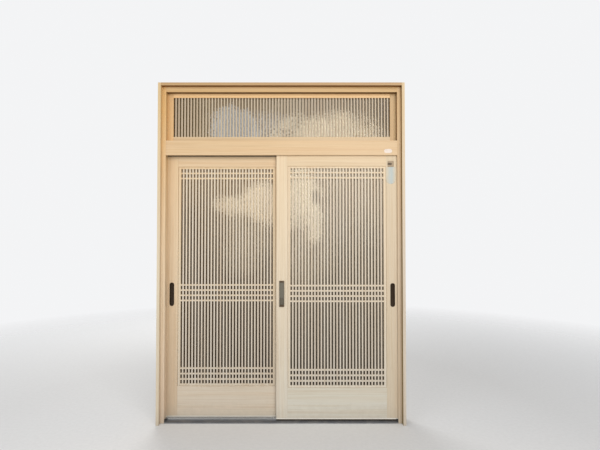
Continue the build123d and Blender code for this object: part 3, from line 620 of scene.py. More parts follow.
class Skin:
    """The points and faces of one piece, gathered sheet by sheet."""

    merge = 1e-7

    def __init__(self) -> None:
        """Starts with nothing."""
        self.points: list[np.ndarray] = []
        self.faces: list[list[int]] = []
        self.count = 0

    def _keep(self, points: np.ndarray) -> None:
        """Adds points to the piece."""
        self.points.append(points.reshape(-1, 3))
        self.count += points.size // 3

    def _between(self, index: np.ndarray) -> None:
        """Adds a face between each four neighbours in a grid of point numbers."""
        corners = (index[:-1, :-1], index[:-1, 1:], index[1:, 1:], index[1:, :-1])
        self.faces += np.stack(corners, -1).reshape(-1, 4).tolist()

    def tube(self, grid: np.ndarray, closed: bool = False) -> None:
        """Adds a grid of points whose columns run round.

        Args:
            grid: points by row, column and coordinate.
            closed: whether the last row meets the first, as on a ring; otherwise the first and
                last rows are each closed by one flat face.
        """
        index = self.count + np.arange(grid.size // 3).reshape(grid.shape[:2])
        wrapped = np.hstack([index, index[:, :1]])
        self._between(np.vstack([wrapped, wrapped[:1]]) if closed else wrapped)
        if not closed:
            self.faces += [index[0, ::-1].tolist(), index[-1].tolist()]
        self._keep(grid)

    def slab(self, front: np.ndarray, back: float) -> None:
        """Adds a plate. Its rim's points are those of the front's edge, moved to the back.

        Args:
            front: the grid of points in front.
            back: the Y of the flat back.
        """
        index = self.count + np.arange(front.size // 3).reshape(front.shape[:2])
        edge = np.concatenate([index[0, :-1], index[:-1, -1], index[-1, :0:-1], index[:0:-1, 0]])
        rim = index[-1, -1] + 1 + np.arange(len(edge))
        behind = front.reshape(-1, 3)[edge - self.count]
        behind[:, 1] = back
        self._between(index)
        self._between(np.array([[*edge, edge[0]], [*rim, rim[0]]]))
        self.faces.append(rim.tolist())
        self._keep(front)
        self._keep(behind)

    def turned(self, centre: Sequence[float], profile: np.ndarray, way: float = 1.0,
               straight: Pair = (0, 0), closed: bool = False, sides: int = 48) -> None:
        """Adds a turned or drawn form whose axis is Y.

        Going round by an angle, a point lies at the profile's radius times its cosine and sine. The
        halves are moved apart by the straight lengths, so a circle turns into an oblong or into a
        rectangle with round corners. The profile's second value is the depth along Y.

        Args:
            centre: the middle, with the Y that depth is measured from.
            profile: radius and depth of each step.
            way: 1 where depth runs into the house, -1 where it runs out.
            straight: half of the straight length along X and along Z.
            closed: whether the profile closes on itself, as round a bore.
            sides: the number of steps round.
        """
        angle = (np.arange(sides) + 0.5) * 2 * math.pi / sides
        radius, depth = profile[:, :1], profile[:, 1:]
        x = centre[0] + radius * np.cos(angle) + straight[0] * np.sign(np.cos(angle))
        z = centre[2] + radius * np.sin(angle) + straight[1] * np.sign(np.sin(angle))
        y = np.broadcast_to(centre[1] + way * depth, x.shape)
        self.tube(np.stack([x, y, z], axis=-1), closed)

    def piece(self, name: str, crease: float = 40.0) -> bpy.types.Object:
        """Turns what was gathered into an object, with its faces turned outwards.

        Args:
            name: of the object.
            crease: the angle in degrees past which an edge stays sharp.

        Returns:
            The object.
        """
        mesh = bpy.data.meshes.new(name)
        mesh.from_pydata(np.concatenate(self.points).tolist(), [], self.faces)
        work = bmesh.new()
        work.from_mesh(mesh)
        bmesh.ops.remove_doubles(work, verts=work.verts, dist=self.merge)
        bmesh.ops.recalc_face_normals(work, faces=work.faces)
        work.to_mesh(mesh)
        work.free()
        mesh.shade_smooth()
        mesh.set_sharp_from_angle(angle=math.radians(crease))
        return placed(name, mesh)


@dataclass
class DoorSet:
    """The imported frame, with the body and the material slot of each of its nodes."""

    frame: dict
    bodies: dict[str, str] = field(default_factory=dict)
    slots: dict[str, str] = field(default_factory=dict)
    films: int = 0
    film_step: float = 0.37
    solid_merge: float = 1e-6
    eased_merge: float = 1e-5
    flat: float = math.radians(1)
    smooth: float = math.radians(25)
    sharp: float = math.radians(40)
    eased_steps: int = 2
    inset: float = 0.1 * MM

    def __post_init__(self) -> None:
        """Reads each node's body and slot from the record."""
        record = self.frame["record"]
        for body, nodes in record["behaviour"]["bodies"].items():
            self.bodies.update({node: body for node in nodes})
        self.slots = {part["node"]: part["material_slot"] for part in record["subparts"]}

    @staticmethod
    def box(node: str) -> Box:
        """A node's lowest and highest corners."""
        low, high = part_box(node)
        return np.array(low), np.array(high)

    def film(self, name: str, grain: Grain, fade: Fade, **more: Any) -> Film:
        """A film with a pattern of its own, so that no two pieces share their grain."""
        self.films += 1
        return Film(name + " film", grain, fade, self.films * self.film_step, **more)

    def finish(self, finish: Finish, *nodes: str) -> None:
        """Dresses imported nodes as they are.

        Args:
            finish: what they get.
            nodes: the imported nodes.
        """
        for node in nodes:
            data = self.frame["nodes"][node].data
            data.materials.clear()
            data.materials.append(finish.material())

    def stand_in(self, piece: bpy.types.Object, node: str, *finishes: Finish) -> None:
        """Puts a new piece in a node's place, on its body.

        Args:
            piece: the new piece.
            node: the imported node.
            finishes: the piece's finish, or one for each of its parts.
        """
        for finish in finishes:
            piece.data.materials.append(finish.material())
        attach(piece, self.bodies[node])
        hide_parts(node)
        LOG.info("%s stands for %s, %d faces", piece.name, node, len(piece.data.polygons))

    def solids(self, node: str) -> list[Box]:
        """Tells the separate solids of a node apart.

        Every point starts with its own number, and points joined by an edge keep taking the lower
        of their two numbers, until each solid has one number throughout.

        Args:
            node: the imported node.

        Returns:
            The box of each solid.
        """
        work = bmesh.new()
        work.from_mesh(self.frame["nodes"][node].data)
        bmesh.ops.remove_doubles(work, verts=work.verts, dist=self.solid_merge)
        work.verts.index_update()
        points = np.array([vert.co for vert in work.verts])
        edges = np.array([[vert.index for vert in edge.verts] for edge in work.edges])
        work.free()
        label, before = np.arange(len(points)), None
        while before is None or not np.array_equal(label, before):
            before = label.copy()
            low = label[edges].min(axis=1)
            np.minimum.at(label, edges[:, 0], low)
            np.minimum.at(label, edges[:, 1], low)
        groups = [points[label == number] for number in np.unique(label)]
        return [(group.min(axis=0), group.max(axis=0)) for group in groups]

    def eased(self, node: str, *finishes: Finish, width: float = 0.7 * MM,
              parts: Sequence[Box | None] = (None,)) -> None:
        """Puts a copy of a node in its place, with its sharp edges eased.

        Args:
            node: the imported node.
            finishes: the copy's finish, or one for each of its parts.
            width: how far back from an edge the easing starts.
            parts: for a node of several touching solids, the box of each.
        """
        joined = bpy.data.meshes.new(node + "_eased")
        gathered = bmesh.new()
        for number, part in enumerate(parts):
            solid = bmesh.new()
            solid.from_mesh(self.frame["nodes"][node].data)
            if part is not None:
                self._keep_within(solid, *part)
            points, edges = solid.verts, solid.edges
            bmesh.ops.remove_doubles(solid, verts=points, dist=self.eased_merge)
            bmesh.ops.dissolve_limit(solid, angle_limit=self.flat, verts=points, edges=edges)
            for face in solid.faces:
                face.material_index = number
            solid.to_mesh(joined)
            solid.free()
            gathered.from_mesh(joined)
        gathered.to_mesh(joined)
        gathered.free()
        joined.shade_smooth()
        joined.set_sharp_from_angle(angle=self.smooth)
        piece = placed(joined.name, joined)
        bevel = piece.modifiers.new("edges", "BEVEL")
        bevel.width, bevel.segments = width, self.eased_steps
        bevel.limit_method, bevel.angle_limit = "ANGLE", self.sharp
        bevel.use_clamp_overlap, bevel.harden_normals = False, True
        self.stand_in(piece, node, *finishes)

    def _keep_within(self, solid: bmesh.types.BMesh, low: np.ndarray, high: np.ndarray) -> None:
        """Keeps the faces that lie in a box: the middle of each, moved in a little, tells.

        Args:
            solid: the mesh that loses the other faces.
            low, high: the box.
        """
        middles = [face.calc_center_median() - face.normal * self.inset for face in solid.faces]
        kept = np.all((np.array(middles) > low) & (np.array(middles) < high), axis=1)
        others = [face for face, keep in zip(solid.faces, kept) if not keep]
        bmesh.ops.delete(solid, geom=others, context="FACES")


@dataclass
class FrameMembers:
    """The fixed frame: jambs, head, sill, transom bar and the sash of the transom window."""

    doors: DoorSet
    # Painted light and shade: the left jamb is paler than the right, and each flange front has its
    # own fade.
    left: Fade = faded((226, 206, 184), (233, 212, 181), (224, 187, 129))
    left_front: Fade = faded((216, 202, 178), (216, 202, 176), (214, 188, 144))
    right: Fade = faded((204, 186, 162), (204, 184, 158), (205, 171, 122))
    right_front: Fade = faded((214, 204, 188), (216, 206, 190), (216, 194, 156))
    corner: Pair = (-71.6 * MM, -35.9 * MM)
    flange_inside: float = 836 * MM
    flange_foot: float = 2320 * MM
    head_foot: float = 2275.4 * MM
    head_wall: float = -34.9 * MM
    channel_top: float = 1854.5 * MM
    channel_wall: float = -19.6 * MM
    glass_bite: float = 10 * MM
    easing: float = 0.8 * MM

    def build(self) -> None:
        """Finishes each member with the grain along its length."""
        self._members()
        self._sash()
        self._metal()

    def _members(self) -> None:
        """The jambs, the head and the transom bar, with painted shade in their corners and hollows.
        """
        upright, level, dim = Grain.UPRIGHT, Grain.LEVEL, (*self.corner, "MULTIPLY")
        # Painted shade: dark tints in the flange corners, under the head and in the bar's channel.
        beside = Shade("X", self.flange_inside, paint(170, 158, 112), *dim)
        above = Shade("Z", self.flange_foot, paint(176, 140, 80), *dim)
        under = Shade("Z", self.head_foot, paint(118, 84, 40), self.head_wall)
        channel = Shade("Z", self.channel_top, paint(46, 30, 9), self.channel_wall)
        # Each member's fade and its flange front's are lit and shaded copies of one film: painted
        # light.
        for node, grain, fade, front, shades in (
            ("left_jamb", upright, self.left, self.left_front, ()),
            ("right_jamb", upright, self.right, self.right_front, (beside,)),
            ("head", level, faded((206, 171, 118)), faded((186, 152, 106)), (above, under)),
            ("transom_bar", level, faded((214, 184, 143)), None, (channel,)),
        ):
            name = node.replace("_", " ")
            film = self.doors.film(name, grain, fade, bleached=front, shades=shades)
            self.doors.eased(node, film, width=self.easing)

    def _sash(self) -> None:
        """The transom sash, whose stiles and rails meet where the pane's edges are let in."""
        low, high = self.doors.box("transom_sash")
        pane_low, pane_high = self.doors.box("transom_glass")
        left, right = pane_low[0] + self.glass_bite, pane_high[0] - self.glass_bite
        foot, top = pane_low[2] + self.glass_bite, pane_high[2] - self.glass_bite
        first, second, (low, high) = thirds(low, high, left, right)
        under, over = (low, np.array([*high[:2], foot])), (np.array([*low[:2], top]), high)
        # The four members' tints are lit and shaded copies of one film: painted light and shade.
        films = (
            self.doors.film(f"transom {name}", grain, faded(colour))
            for name, grain, colour in (
                ("left stile", Grain.UPRIGHT, (219, 180, 127)),
                ("right stile", Grain.UPRIGHT, (198, 168, 121)),
                ("foot rail", Grain.LEVEL, (207, 183, 146)),
                ("top rail", Grain.LEVEL, (236, 196, 142)),
            )
        )
        self.doors.eased("transom_sash", *films, parts=[first, second, under, over])

    def _metal(self) -> None:
        """The sill, the track caps and the strike plate."""
        sill = Metal("sill aluminium", paint(104, 106, 110), 0.42, Grain.DRAWN_ALONG, 0.8, 0.4)
        track = Metal("track steel", paint(176, 176, 174), 0.24, Grain.DRAWN_ALONG)
        strike = Metal("strike steel", paint(170, 170, 168), 0.3, Grain.DRAWN_UP)
        self.doors.eased("sill", sill, width=0.6 * MM)
        self.doors.eased("track_caps", track, width=0.2 * MM)
        self.doors.eased("strike_plate", strike, width=0.3 * MM)


@dataclass
class Leaf:
    """One sliding door: its stiles, rails, lip and the strips around its lattice."""

    doors: DoorSet
    name: str
    lock_stile: Fade
    meeting_stile: Fade
    rails: Fade
    strip: float = 19 * MM

    def build(self) -> None:
        """Finishes the members, each with the grain along it."""
        for part, grain, fade in (
            ("lock_stile", Grain.UPRIGHT, self.lock_stile),
            ("meeting_stile", Grain.UPRIGHT, self.meeting_stile),
            ("top_rail", Grain.LEVEL, self.rails),
            ("kick_rail", Grain.LEVEL, self.rails),
        ):
            node = f"{self.name}_{part}"
            self.doors.eased(node, self.doors.film(node, grain, fade))
        colour = paint(232, 228, 216)
        lip = Metal(f"{self.name} lip aluminium", colour, 0.4, Grain.DRAWN_ALONG, 0.1, 0.2)
        self.doors.eased(f"{self.name}_bottom_lip", lip, width=0.5 * MM)
        border = self.doors.film(f"{self.name} border", Grain.UPRIGHT, self.meeting_stile)
        node = f"{self.name}_lattice_frame"
        low, high = self.doors.box(node)
        parts = thirds(low, high, low[0] + self.strip, high[0] - self.strip)
        self.doors.eased(node, *[border] * len(parts), width=0.4 * MM, parts=parts)


@dataclass
class Surface:
    """A piece that is worked out again as a finer surface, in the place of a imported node."""

    doors: DoorSet
    node: str
    finish: Finish
    skin: Skin = field(default_factory=Skin, init=False)

    def _box(self) -> tuple[np.ndarray, np.ndarray, np.ndarray]:
        """The node's lowest and highest corners and its middle."""
        low, high = self.doors.box(self.node)
        return low, high, (low + high) / 2

    def _put(self, ending: str, crease: float) -> None:
        """Puts what was gathered in the node's place."""
        self.doors.stand_in(self.skin.piece(self.node + ending, crease), self.node, self.finish)


@dataclass
class Lattice(Surface):
    """The upright bars in front of a pane, with eased corners, let into the cross rails."""

    count: int
    width: float = 10 * MM
    corner: float = 1.2 * MM

    def build(self) -> None:
        """Spaces the bars equally from the first to the last.

        A bar's section is a rectangle with an arc at each corner, whose centre lies one radius
        inside both sides. It stands round the bar's middle at the foot and again at the top.
        """
        low, high, middle = self._box()
        x, y = self.width / 2 - self.corner, (high[1] - low[1]) / 2 - self.corner
        corners = (((x, y), 0), ((-x, y), 90), ((-x, -y), 180), ((x, -y), 270))
        outline = [arc(at, self.corner, way, way + 90, 3) for at, way in corners]
        for across in np.linspace(low[0] + self.width / 2, high[0] - self.width / 2, self.count):
            section = np.concatenate(outline) + (across, middle[1])
            ends = [np.insert(section, 2, z, axis=1) for z in (low[2], high[2])]
            self.skin.tube(np.stack(ends))
        self._put("_round", 50)


@dataclass
class Pane(Surface):
    """A pane of figured glass with a rolled relief on its outer face."""

    spacing: float = 6.5 * MM
    relief: float = 0.35 * MM
    wave: float = 26 * MM
    waves: int = 9
    seed: int = 5

    def build(self) -> None:
        """The outer face is a grid pushed in by the relief, and the inner face is flat.

        The relief is a half plus the mean of waves that run spread ways: each is the cosine of
        the distance along its own direction, with its own phase.
        """
        rng = np.random.default_rng(self.seed)
        turn = np.linspace(0, math.pi, self.waves, endpoint=False) + rng.uniform(0, 0.3, self.waves)
        phase = rng.uniform(0, 2 * math.pi, self.waves)
        length = self.wave * rng.uniform(0.8, 1.3, self.waves)
        low, high, _ = self._box()
        steps = ((high - low) / self.spacing).astype(int) + 1
        across = np.linspace(low[0], high[0], steps[0])
        x, z = np.meshgrid(across, np.linspace(low[2], high[2], steps[2]), indexing="ij")
        along = x[..., None] * np.cos(turn) + z[..., None] * np.sin(turn)
        height = 0.5 + np.cos(2 * math.pi * along / length + phase).mean(axis=-1)
        self.skin.slab(np.stack([x, low[1] + self.relief * np.clip(height, 0, 1), z], -1), high[1])
        self._put("_figured", 60)


@dataclass
class PileSeals(Surface):
    """Brush seals: a backing with a dense pile whose tips are a little uneven."""

    tips: float
    step: float = 2.5 * MM
    fall: float = 0.25
    side: tuple[Pair, ...] = ((-0.5, 0), (-0.5, 0.14), (-0.4, 0.2), (-0.5, 0.7), (-0.3, 1))
    seed: int = 11

    def build(self) -> None:
        """Makes each strip along its longest axis. One that sweeps under a door points down.

        The section runs up one side, over the tips and down the other, as shares of the width and
        of the height. Each step along it lowers the tips by up to a quarter of the height.
        """
        rng = np.random.default_rng(self.seed)
        section = np.array([*self.side, (0, 1), *((-x, y) for x, y in self.side[::-1])])
        for low, high in self.doors.solids(self.node):
            size = high - low
            along = int(size.argmax())
            sweeps = along == 0 and self.doors.bodies[self.node] != "frame"
            up, way = (2, -1.0) if sweeps else (1, self.tips)
            across = 3 - along - up
            rows = int(size[along] / self.step) + 2
            level = 1 - rng.uniform(0, self.fall, (rows, 1)) * (section[:, 1] > 0.5)
            grid = np.empty((rows, len(section), 3))
            grid[..., along] = np.linspace(low[along], high[along], rows)[:, None]
            grid[..., across] = (low[across] + high[across]) / 2 + size[across] * section[:, 0]
            root = low[up] if way > 0 else high[up]
            grid[..., up] = root + way * size[up] * section[:, 1] * level
            self.skin.tube(grid)
        self._put("_pile", 60)


@dataclass
class Roller(Surface):
    """A grooved roller under a door, turned with rounded flanks and a recessed web."""

    bore: float = 3.05 * MM
    hub: float = 5.5 * MM
    web: Pair = (6.3 * MM, 12 * MM)
    rim: float = 13 * MM
    recess: float = 1.6 * MM
    fillet: float = 1.0 * MM
    tread: float = 15.0 * MM
    groove_rise: float = 0.3 * MM

    def build(self) -> None:
        """Turns its section: bore, hub, web, rim, flank, groove, and back."""
        low, high, centre = self._box()
        half, radius = (high[1] - low[1]) / 2, (high[0] - low[0]) / 2
        deep = -half + self.recess
        side = [(self.bore, -half), (self.hub, -half), (self.web[0], deep), (self.web[1], deep)]
        flank = arc((radius - self.fillet, -half + self.fillet), self.fillet, -90, 0, 4)
        middle = radius + self.groove_rise
        groove = arc((middle, 0.0), middle - self.tread, 255, 105, 11)
        half_section = np.concatenate([side, [(self.rim, -half)], flank])
        profile = np.concatenate([half_section, groove, (half_section * (1, -1))[::-1]])
        self.skin.turned(centre, profile, closed=True, sides=64)
        self._put("_turned", 30)


@dataclass
class Pulls(Surface):
    """A door's recessed pulls: a rolled rim on each face of the stile and a deep rounded bowl."""

    rim: float = 3 * MM
    rise: float = 1.5 * MM
    wall: float = 1.5 * MM
    depth: float = 12 * MM
    fillet: float = 3 * MM
    back_fillet: float = 2 * MM
    edge_radius: float = 0.7 * MM
    roll_radius: float = 1.2 * MM

    def build(self) -> None:
        """Puts one pull in each face of the stile.

        Its section runs from the back of the bowl, round the rim, to the floor inside.
        """
        low, high, (x, _, z) = self._box()
        radius = (high[0] - low[0]) / 2
        outside = radius - self.rim
        inside = outside - self.wall
        floor = self.depth - self.wall
        behind, edge, roll = self.back_fillet, self.edge_radius, self.roll_radius
        profile = np.concatenate([
            arc((outside - behind, self.depth - behind), behind, 90, 0),
            [(outside, 0), (radius, 0)],
            arc((radius - edge, -self.rise + edge), edge, 0, -90),
            arc((inside + roll, -self.rise + roll), roll, -90, -180),
            arc((inside - self.fillet, floor - self.fillet), self.fillet, 0, 90),
        ])
        straight = (0, (high[2] - low[2]) / 2 - radius)
        for face, way in ((low[1] + self.rise, 1), (high[1] - self.rise, -1)):
            self.skin.turned((x, face, z), profile, way, straight)
        self._put("_drawn", 35)


@dataclass
class OvalPlate(Surface):
    """A thin blank plate with round ends, a rounded edge and a slightly domed face."""

    crown: float = 0.3 * MM
    edge: float = 0.5 * MM
    rings: Triple = (0.15, 0.5, 0.8)
    fullness: float = 0.99

    def build(self) -> None:
        """The dome falls with the square of the distance from the middle."""
        low, high, (x, _, z) = self._box()
        corner = (high[2] - low[2]) / 2 * self.fullness
        straight = ((high[0] - low[0]) / 2 - corner, (high[2] - low[2]) / 2 - corner)
        dome = [(corner * share, self.crown * share ** 2) for share in self.rings]
        rounded = arc((corner - self.edge, self.crown + self.edge), self.edge, -90, 0)
        profile = np.concatenate([dome, rounded, [(corner, high[1] - low[1])]])
        self.skin.turned((x, low[1], z), profile, straight=straight)
        self._put("_domed", 40)


@dataclass
class KeyCylinder(Surface):
    """The barrel: a bore, a flat face with a fine groove, and a rounded outer edge."""

    bore: float = 6.05 * MM
    chamfer: float = 0.6 * MM
    groove: Pair = (1.6 * MM, 0.4 * MM)
    edge: float = 0.8 * MM

    def build(self) -> None:
        """Turns the barrel; its groove has sloping sides as wide as it is deep."""
        low, high, (x, _, z) = self._box()
        radius, length = (high[0] - low[0]) / 2, high[1] - low[1]
        bore, chamfer, edge = self.bore, self.chamfer, self.edge
        start, deep = self.groove
        profile = np.concatenate([
            [(bore, length), (bore, chamfer), (bore + chamfer, 0), (bore + start, 0)],
            [(bore + start + deep, deep), (bore + start + 2 * deep, 0)],
            arc((radius - edge, edge), edge, -90, 0),
            [(radius, length)],
        ])
        self.skin.turned((x, low[1], z), profile, closed=True)
        self._put("_turned", 30)


@dataclass
class Locks:
    """The tag, the lock cover, the cases, turns, bolt and hook, with eased edges."""

    doors: DoorSet

    def build(self) -> None:
        """Finishes each piece in its own metal or plastic."""
        upright = Grain.DRAWN_UP
        bronze = Coating("dark bronze", paint(86, 68, 48), shine=0.25)
        cover = Metal("grey bronze cover", paint(100, 95, 83), 0.4, upright, 0.5)
        channel = Metal("grey bronze channel", paint(92, 85, 72), 0.4, upright, 0.5)
        # Partly painted shade: the plate is darkened all over to stand for the shaded recess of its
        # slot.
        champagne = Coating("champagne plate", paint(140, 120, 92), metallic=0.15)
        satin = Metal("satin lock steel", paint(172, 166, 154), 0.34, upright, 0.9)
        bright = Metal("plain lock steel", paint(150, 148, 142), 0.3, Grain.DRAWN_INWARD, 0.9)
        low, high = self.doors.box("lock_tag")
        # Partly painted reflection: the tag's cream and blue stand for a sheen across it.
        cream, blue = paint(189, 176, 150), paint(166, 175, 171)
        milky = MilkyPlastic("milky tag", cream, blue, low[0], high[0])
        for node, finish, easing in (
            ("lock_cover_housing", channel, 0.4),
            ("lock_cover_ends", bronze, 0.8),
            ("lock_cover", cover, 0.3),
            ("keyhole_shutter", bronze, 0.4),
            ("key_plug", bright, 0.2),
            ("meeting_lock_case", satin, 0.5),
            ("meeting_turn", satin, 0.8),
            ("meeting_bolt", bright, 0.5),
            ("upper_lock_case", champagne, 0.6),
            ("upper_turn", satin, 0.6),
            ("upper_hook", bright, 0.4),
            ("lock_tag", milky, 0.4),
        ):
            self.doors.eased(node, finish, width=easing * MM)


@dataclass(frozen=True)
class Lamp:
    """A square soft light aimed at the middle of the doors."""

    name: str
    place: Triple
    power: float
    colour: Triple
    size: float = 3.0
    aim: Triple = (0.0, 0.0, 1.1)

    def build(self) -> None:
        """Hangs the lamp in its place and turns it."""
        light = bpy.data.lights.new(self.name, "AREA")
        light.size, light.energy, light.color = self.size, self.power, self.colour
        holder = placed(self.name, light)
        holder.location = self.place
        way = Vector(self.aim) - Vector(self.place)
        holder.rotation_euler = way.to_track_quat("-Z", "Y").to_euler()


@dataclass
class Studio:
    """The pale floor, the soft lights, the even sky and the camera of the photograph."""

    floor_rings: tuple[float, ...] = (0.01, 1, 2, 4, 7)
    floor_sides: int = 96
    floor_depth: float = -0.5 * MM
    fade_start: float = 2.0
    fade_length: float = 3.5
    sky: float = 0.4
    seen_sky: Colour = (0.9, 0.905, 0.915, 1.0)
    eye_place: Triple = (0.128, -3.1325, 1.285)
    eye_tilt: float = 1.27
    lens: float = 27.0
    sensor: float = 36.0
    lamps: tuple[Lamp, ...] = (
        Lamp("key", (1.2, -4.0, 2.5), 125.0, (1.0, 0.985, 0.96)),
        Lamp("fill", (-2.6, -3.5, 1.6), 60.0, (0.97, 0.985, 1.0)),
        Lamp("back", (-1.5, 4.0, 3.2), 120.0, (1.0, 0.985, 0.96)),
    )

    @staticmethod
    def _seen(graph: Graph) -> Wire:
        """Tells what the eye meets, straight or by way of metal and glass, from stray light.

        Args:
            graph: the tree under construction.

        Returns:
            1 for what the eye meets, or else 0.
        """
        ways = ("Camera", "Glossy", "Transmission")
        camera, glossy, through = (graph.node("LightPath", output=f"Is {way} Ray") for way in ways)
        return camera.highest(glossy).highest(through)

    def _floor(self) -> None:
        """A flat pale floor just under the sill, which fades out far from the doors.

        It throws little light back up, so that undersides stay in shade.
        """
        skin = Skin()
        angle = np.linspace(0, 2 * math.pi, self.floor_sides, endpoint=False)
        radius = np.array(self.floor_rings)[:, None]
        z = np.broadcast_to(self.floor_depth, (len(radius), len(angle)))
        skin.tube(np.stack([radius * np.cos(angle), radius * np.sin(angle), z], -1))
        skin.faces.pop()
        floor = skin.piece("studio_floor")
        shader = Shader("studio floor")
        seen = self._seen(shader)
        speck = shader.greys(shader.noise(40.0, 3.0, 0.6), (0.3, 0.74), (0.7, 0.78))
        body = shader.surface(Base_Color=shader.blend(grey(0.3), speck, seen), Roughness=0.9)
        away = shader.node("VectorMath", {"operation": "LENGTH"}, {0: shader.place}, "Value")
        fade = ((away - self.fade_start) / self.fade_length).limited() * seen
        mixed = shader.node("MixShader", {}, {0: fade, 1: body, 2: shader.node("BsdfTransparent")})
        floor.data.materials.append(shader.ends_in(mixed))

    def _sky(self) -> None:
        """An even pale world: full strength to the eye and in mirrors, softer as light."""
        world = bpy.data.worlds.new("studio sky")
        bpy.context.scene.world = world
        world.use_nodes = True
        graph = Graph(world.node_tree)
        strength = self._seen(graph) * (1 - self.sky) + self.sky
        background = graph.node("Background", {}, {"Color": self.seen_sky, "Strength": strength})
        graph.node("OutputWorld", {}, {"Surface": background})

    def _camera(self) -> None:
        """The photograph's eye: about 3.1 m in front, right of the middle and nearly level."""
        view = bpy.data.cameras.new("eye")
        view.lens, view.sensor_width = self.lens, self.sensor
        eye = placed("eye", view)
        eye.location = self.eye_place
        eye.rotation_euler = (math.radians(90 + self.eye_tilt), 0, 0)
        bpy.context.scene.camera = eye

    def build(self) -> None:
        """Sets everything up around the doors."""
        bpy.context.scene.view_settings.view_transform = "Standard"
        self._camera()
        self._floor()
        self._sky()
        for lamp in self.lamps:
            lamp.build()


def build_leaves(doors: DoorSet) -> None:
    """Finishes both doors: the lock stile, the meeting stile and the rails of each.

    Args:
        doors: the door set.
    """
    # The stiles' and rails' fades are lit and shaded copies of one film: painted light and shade.
    fades = {
        "outer": (
            faded((210, 197, 176), (211, 194, 168), (207, 188, 156)),
            faded((216, 209, 195), (222, 205, 179), (224, 201, 165)),
            faded((212, 208, 196), (218, 202, 174), (217, 190, 151)),
        ),
        "inner": (
            faded((202, 182, 157), (218, 196, 164), (220, 190, 146)),
            faded((208, 198, 182), (218, 199, 168), (222, 192, 148)),
            faded((210, 198, 181), (218, 200, 172), (223, 191, 147)),
        ),
    }
    for name, colours in fades.items():
        Leaf(doors, name, *colours).build()


def build_lattices(doors: DoorSet) -> None:
    """Makes the bars of both doors and of the transom window.

    Args:
        doors: the door set.
    """
    # Painted light: the door bars grow paler towards the top; the transom's bars are darker, as
    # painted shade.
    fade = faded((208, 200, 188), (218, 206, 188), (224, 208, 182))
    bars = doors.film("lattice bar", Grain.UPRIGHT, fade)
    upper = doors.film("transom bars", Grain.UPRIGHT, faded((192, 176, 152)))
    for node, film, count in (
        ("outer_lattice_bars", bars, 29),
        ("inner_lattice_bars", bars, 29),
        ("transom_lattice", upper, 71),
    ):
        Lattice(doors, node, film, count).build()


def build_panes(doors: DoorSet) -> None:
    """Makes the three panes, each with its own clouds of light.

    Args:
        doors: the door set.
    """
    # Painted reflection: each pane's fade darkens to its foot, and its clouds stand for what it
    # mirrors.
    pale_blue, brown, sunlit = paint(204, 210, 216), paint(98, 78, 50), paint(255, 244, 216)
    panes = {
        "outer": (
            faded((62, 52, 38), (138, 124, 102), (226, 206, 176)),
            Haze(0.13, 1.26, 0.26, 0.36, 0.35, 1.3),
            Haze(0.12, 1.57, 0.15, 0.24, 1.0, 0.8, sunlit),
            Haze(0.23, 1.37, 0.06, 0.16, 1.0, 0.8, sunlit),
            Haze(0.24, 1.55, 0.035, 0.06, 0.6, 0.9, brown),
        ),
        "inner": (
            faded((68, 54, 38), (116, 97, 72), (162, 136, 104)),
            Haze(-0.22, 1.30, 0.26, 0.36, 0.4, 1.3),
            Haze(-0.34, 1.49, 0.15, 0.09, 0.9, 0.9),
            Haze(-0.13, 1.51, 0.17, 0.16, 1.0, 0.8),
        ),
        "transom": (
            faded((132, 113, 83)),
            Haze(-0.74, 2.10, 0.19, 0.36, 1.0, 1.0, brown),
            Haze(0.76, 2.16, 0.14, 0.26, 0.9, 1.0, brown),
            Haze(-0.18, 2.03, 0.32, 0.14, 0.5, 1.0, pale_blue),
            Haze(-0.33, 2.03, 0.19, 0.16, 0.85, 0.5, pale_blue),
            Haze(0.33, 1.95, 0.46, 0.21, 1.0, 0.8, sunlit),
        ),
    }
    for name, (fade, *hazes) in panes.items():
        low, high = doors.box(f"{name}_glass")
        middle = (low[1] + high[1]) / 2
        glass = FiguredGlass(f"{name} figured glass", fade, tuple(hazes), middle)
        Pane(doors, f"{name}_glass", glass).build()


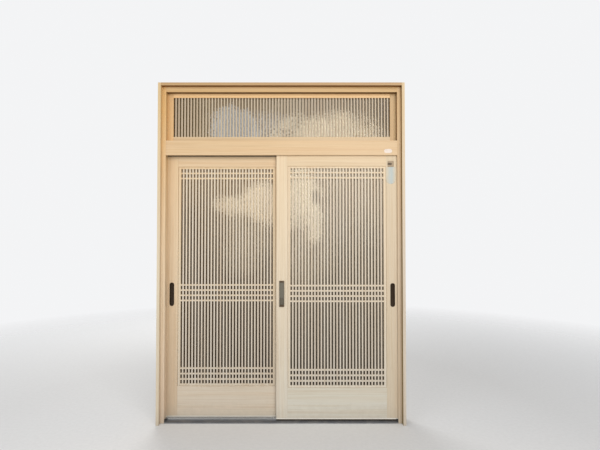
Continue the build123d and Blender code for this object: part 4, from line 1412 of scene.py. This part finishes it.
def build_details(doors: DoorSet) -> None:
    """Makes the seals, rollers, pulls, oval plate and key cylinder again as finer surfaces.

    Args:
        doors: the door set.
    """
    # Partly painted shade: the pile is dark brown to darken the gap above the inner door.
    pile = Pile("seal pile", paint(72, 52, 28))
    acetal = Coating("roller plastic", paint(196, 190, 176))
    bronze = Coating("pull bronze", paint(50, 37, 22), shine=0.15)
    white = Coating("white plate", paint(222, 206, 192), coat=0.2)
    steel = Metal("key cylinder steel", paint(168, 160, 146), 0.3, Grain.NONE)
    for node, tips in (("frame_seals", 1.0), ("outer_seals", 1.0), ("inner_seals", -1.0)):
        PileSeals(doors, node, pile, tips).build()
    for node in ("outer_wheel_1", "outer_wheel_2", "inner_wheel_1", "inner_wheel_2"):
        Roller(doors, node, acetal).build()
    for node in ("outer_pulls", "inner_pulls"):
        Pulls(doors, node, bronze).build()
    OvalPlate(doors, "oval_plate", white).build()
    KeyCylinder(doors, "key_cylinder", steel).build()


def dress_hidden(doors: DoorSet) -> None:
    """Finishes the rubber, plastic and steel that mostly sit inside the sections.

    Args:
        doors: the door set.
    """
    gasket = Coating("gasket rubber", paint(58, 56, 54), 0.6, skin=900.0)
    buffer = Coating("buffer rubber", paint(48, 46, 44), 0.7, skin=700.0)
    housing = Coating("housing plastic", paint(70, 72, 74), 0.5, skin=600.0)
    steel = Metal("screw steel", paint(180, 178, 172), 0.3, Grain.NONE)
    doors.finish(gasket, "transom_gasket", "outer_gasket", "inner_gasket")
    doors.finish(housing, "outer_roller_housings", "inner_roller_housings")
    doors.finish(steel, "frame_screws", "outer_screws", "inner_screws")
    doors.eased("rubber_buffers", buffer, width=0.8 * MM)
    doors.eased("outer_top_guides", housing, width=0.8 * MM)
    doors.eased("inner_top_guides", housing, width=0.8 * MM)


def main() -> None:
    """Builds and dresses every part of the door set in order."""
    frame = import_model()
    doors = DoorSet(frame)
    Studio().build()
    FrameMembers(doors).build()
    build_leaves(doors)
    build_lattices(doors)
    build_panes(doors)
    build_details(doors)
    Locks(doors).build()
    dress_hidden(doors)


if __name__ == "__main__":
    logging.basicConfig(level=logging.INFO, format="%(name)s: %(message)s")
    main()
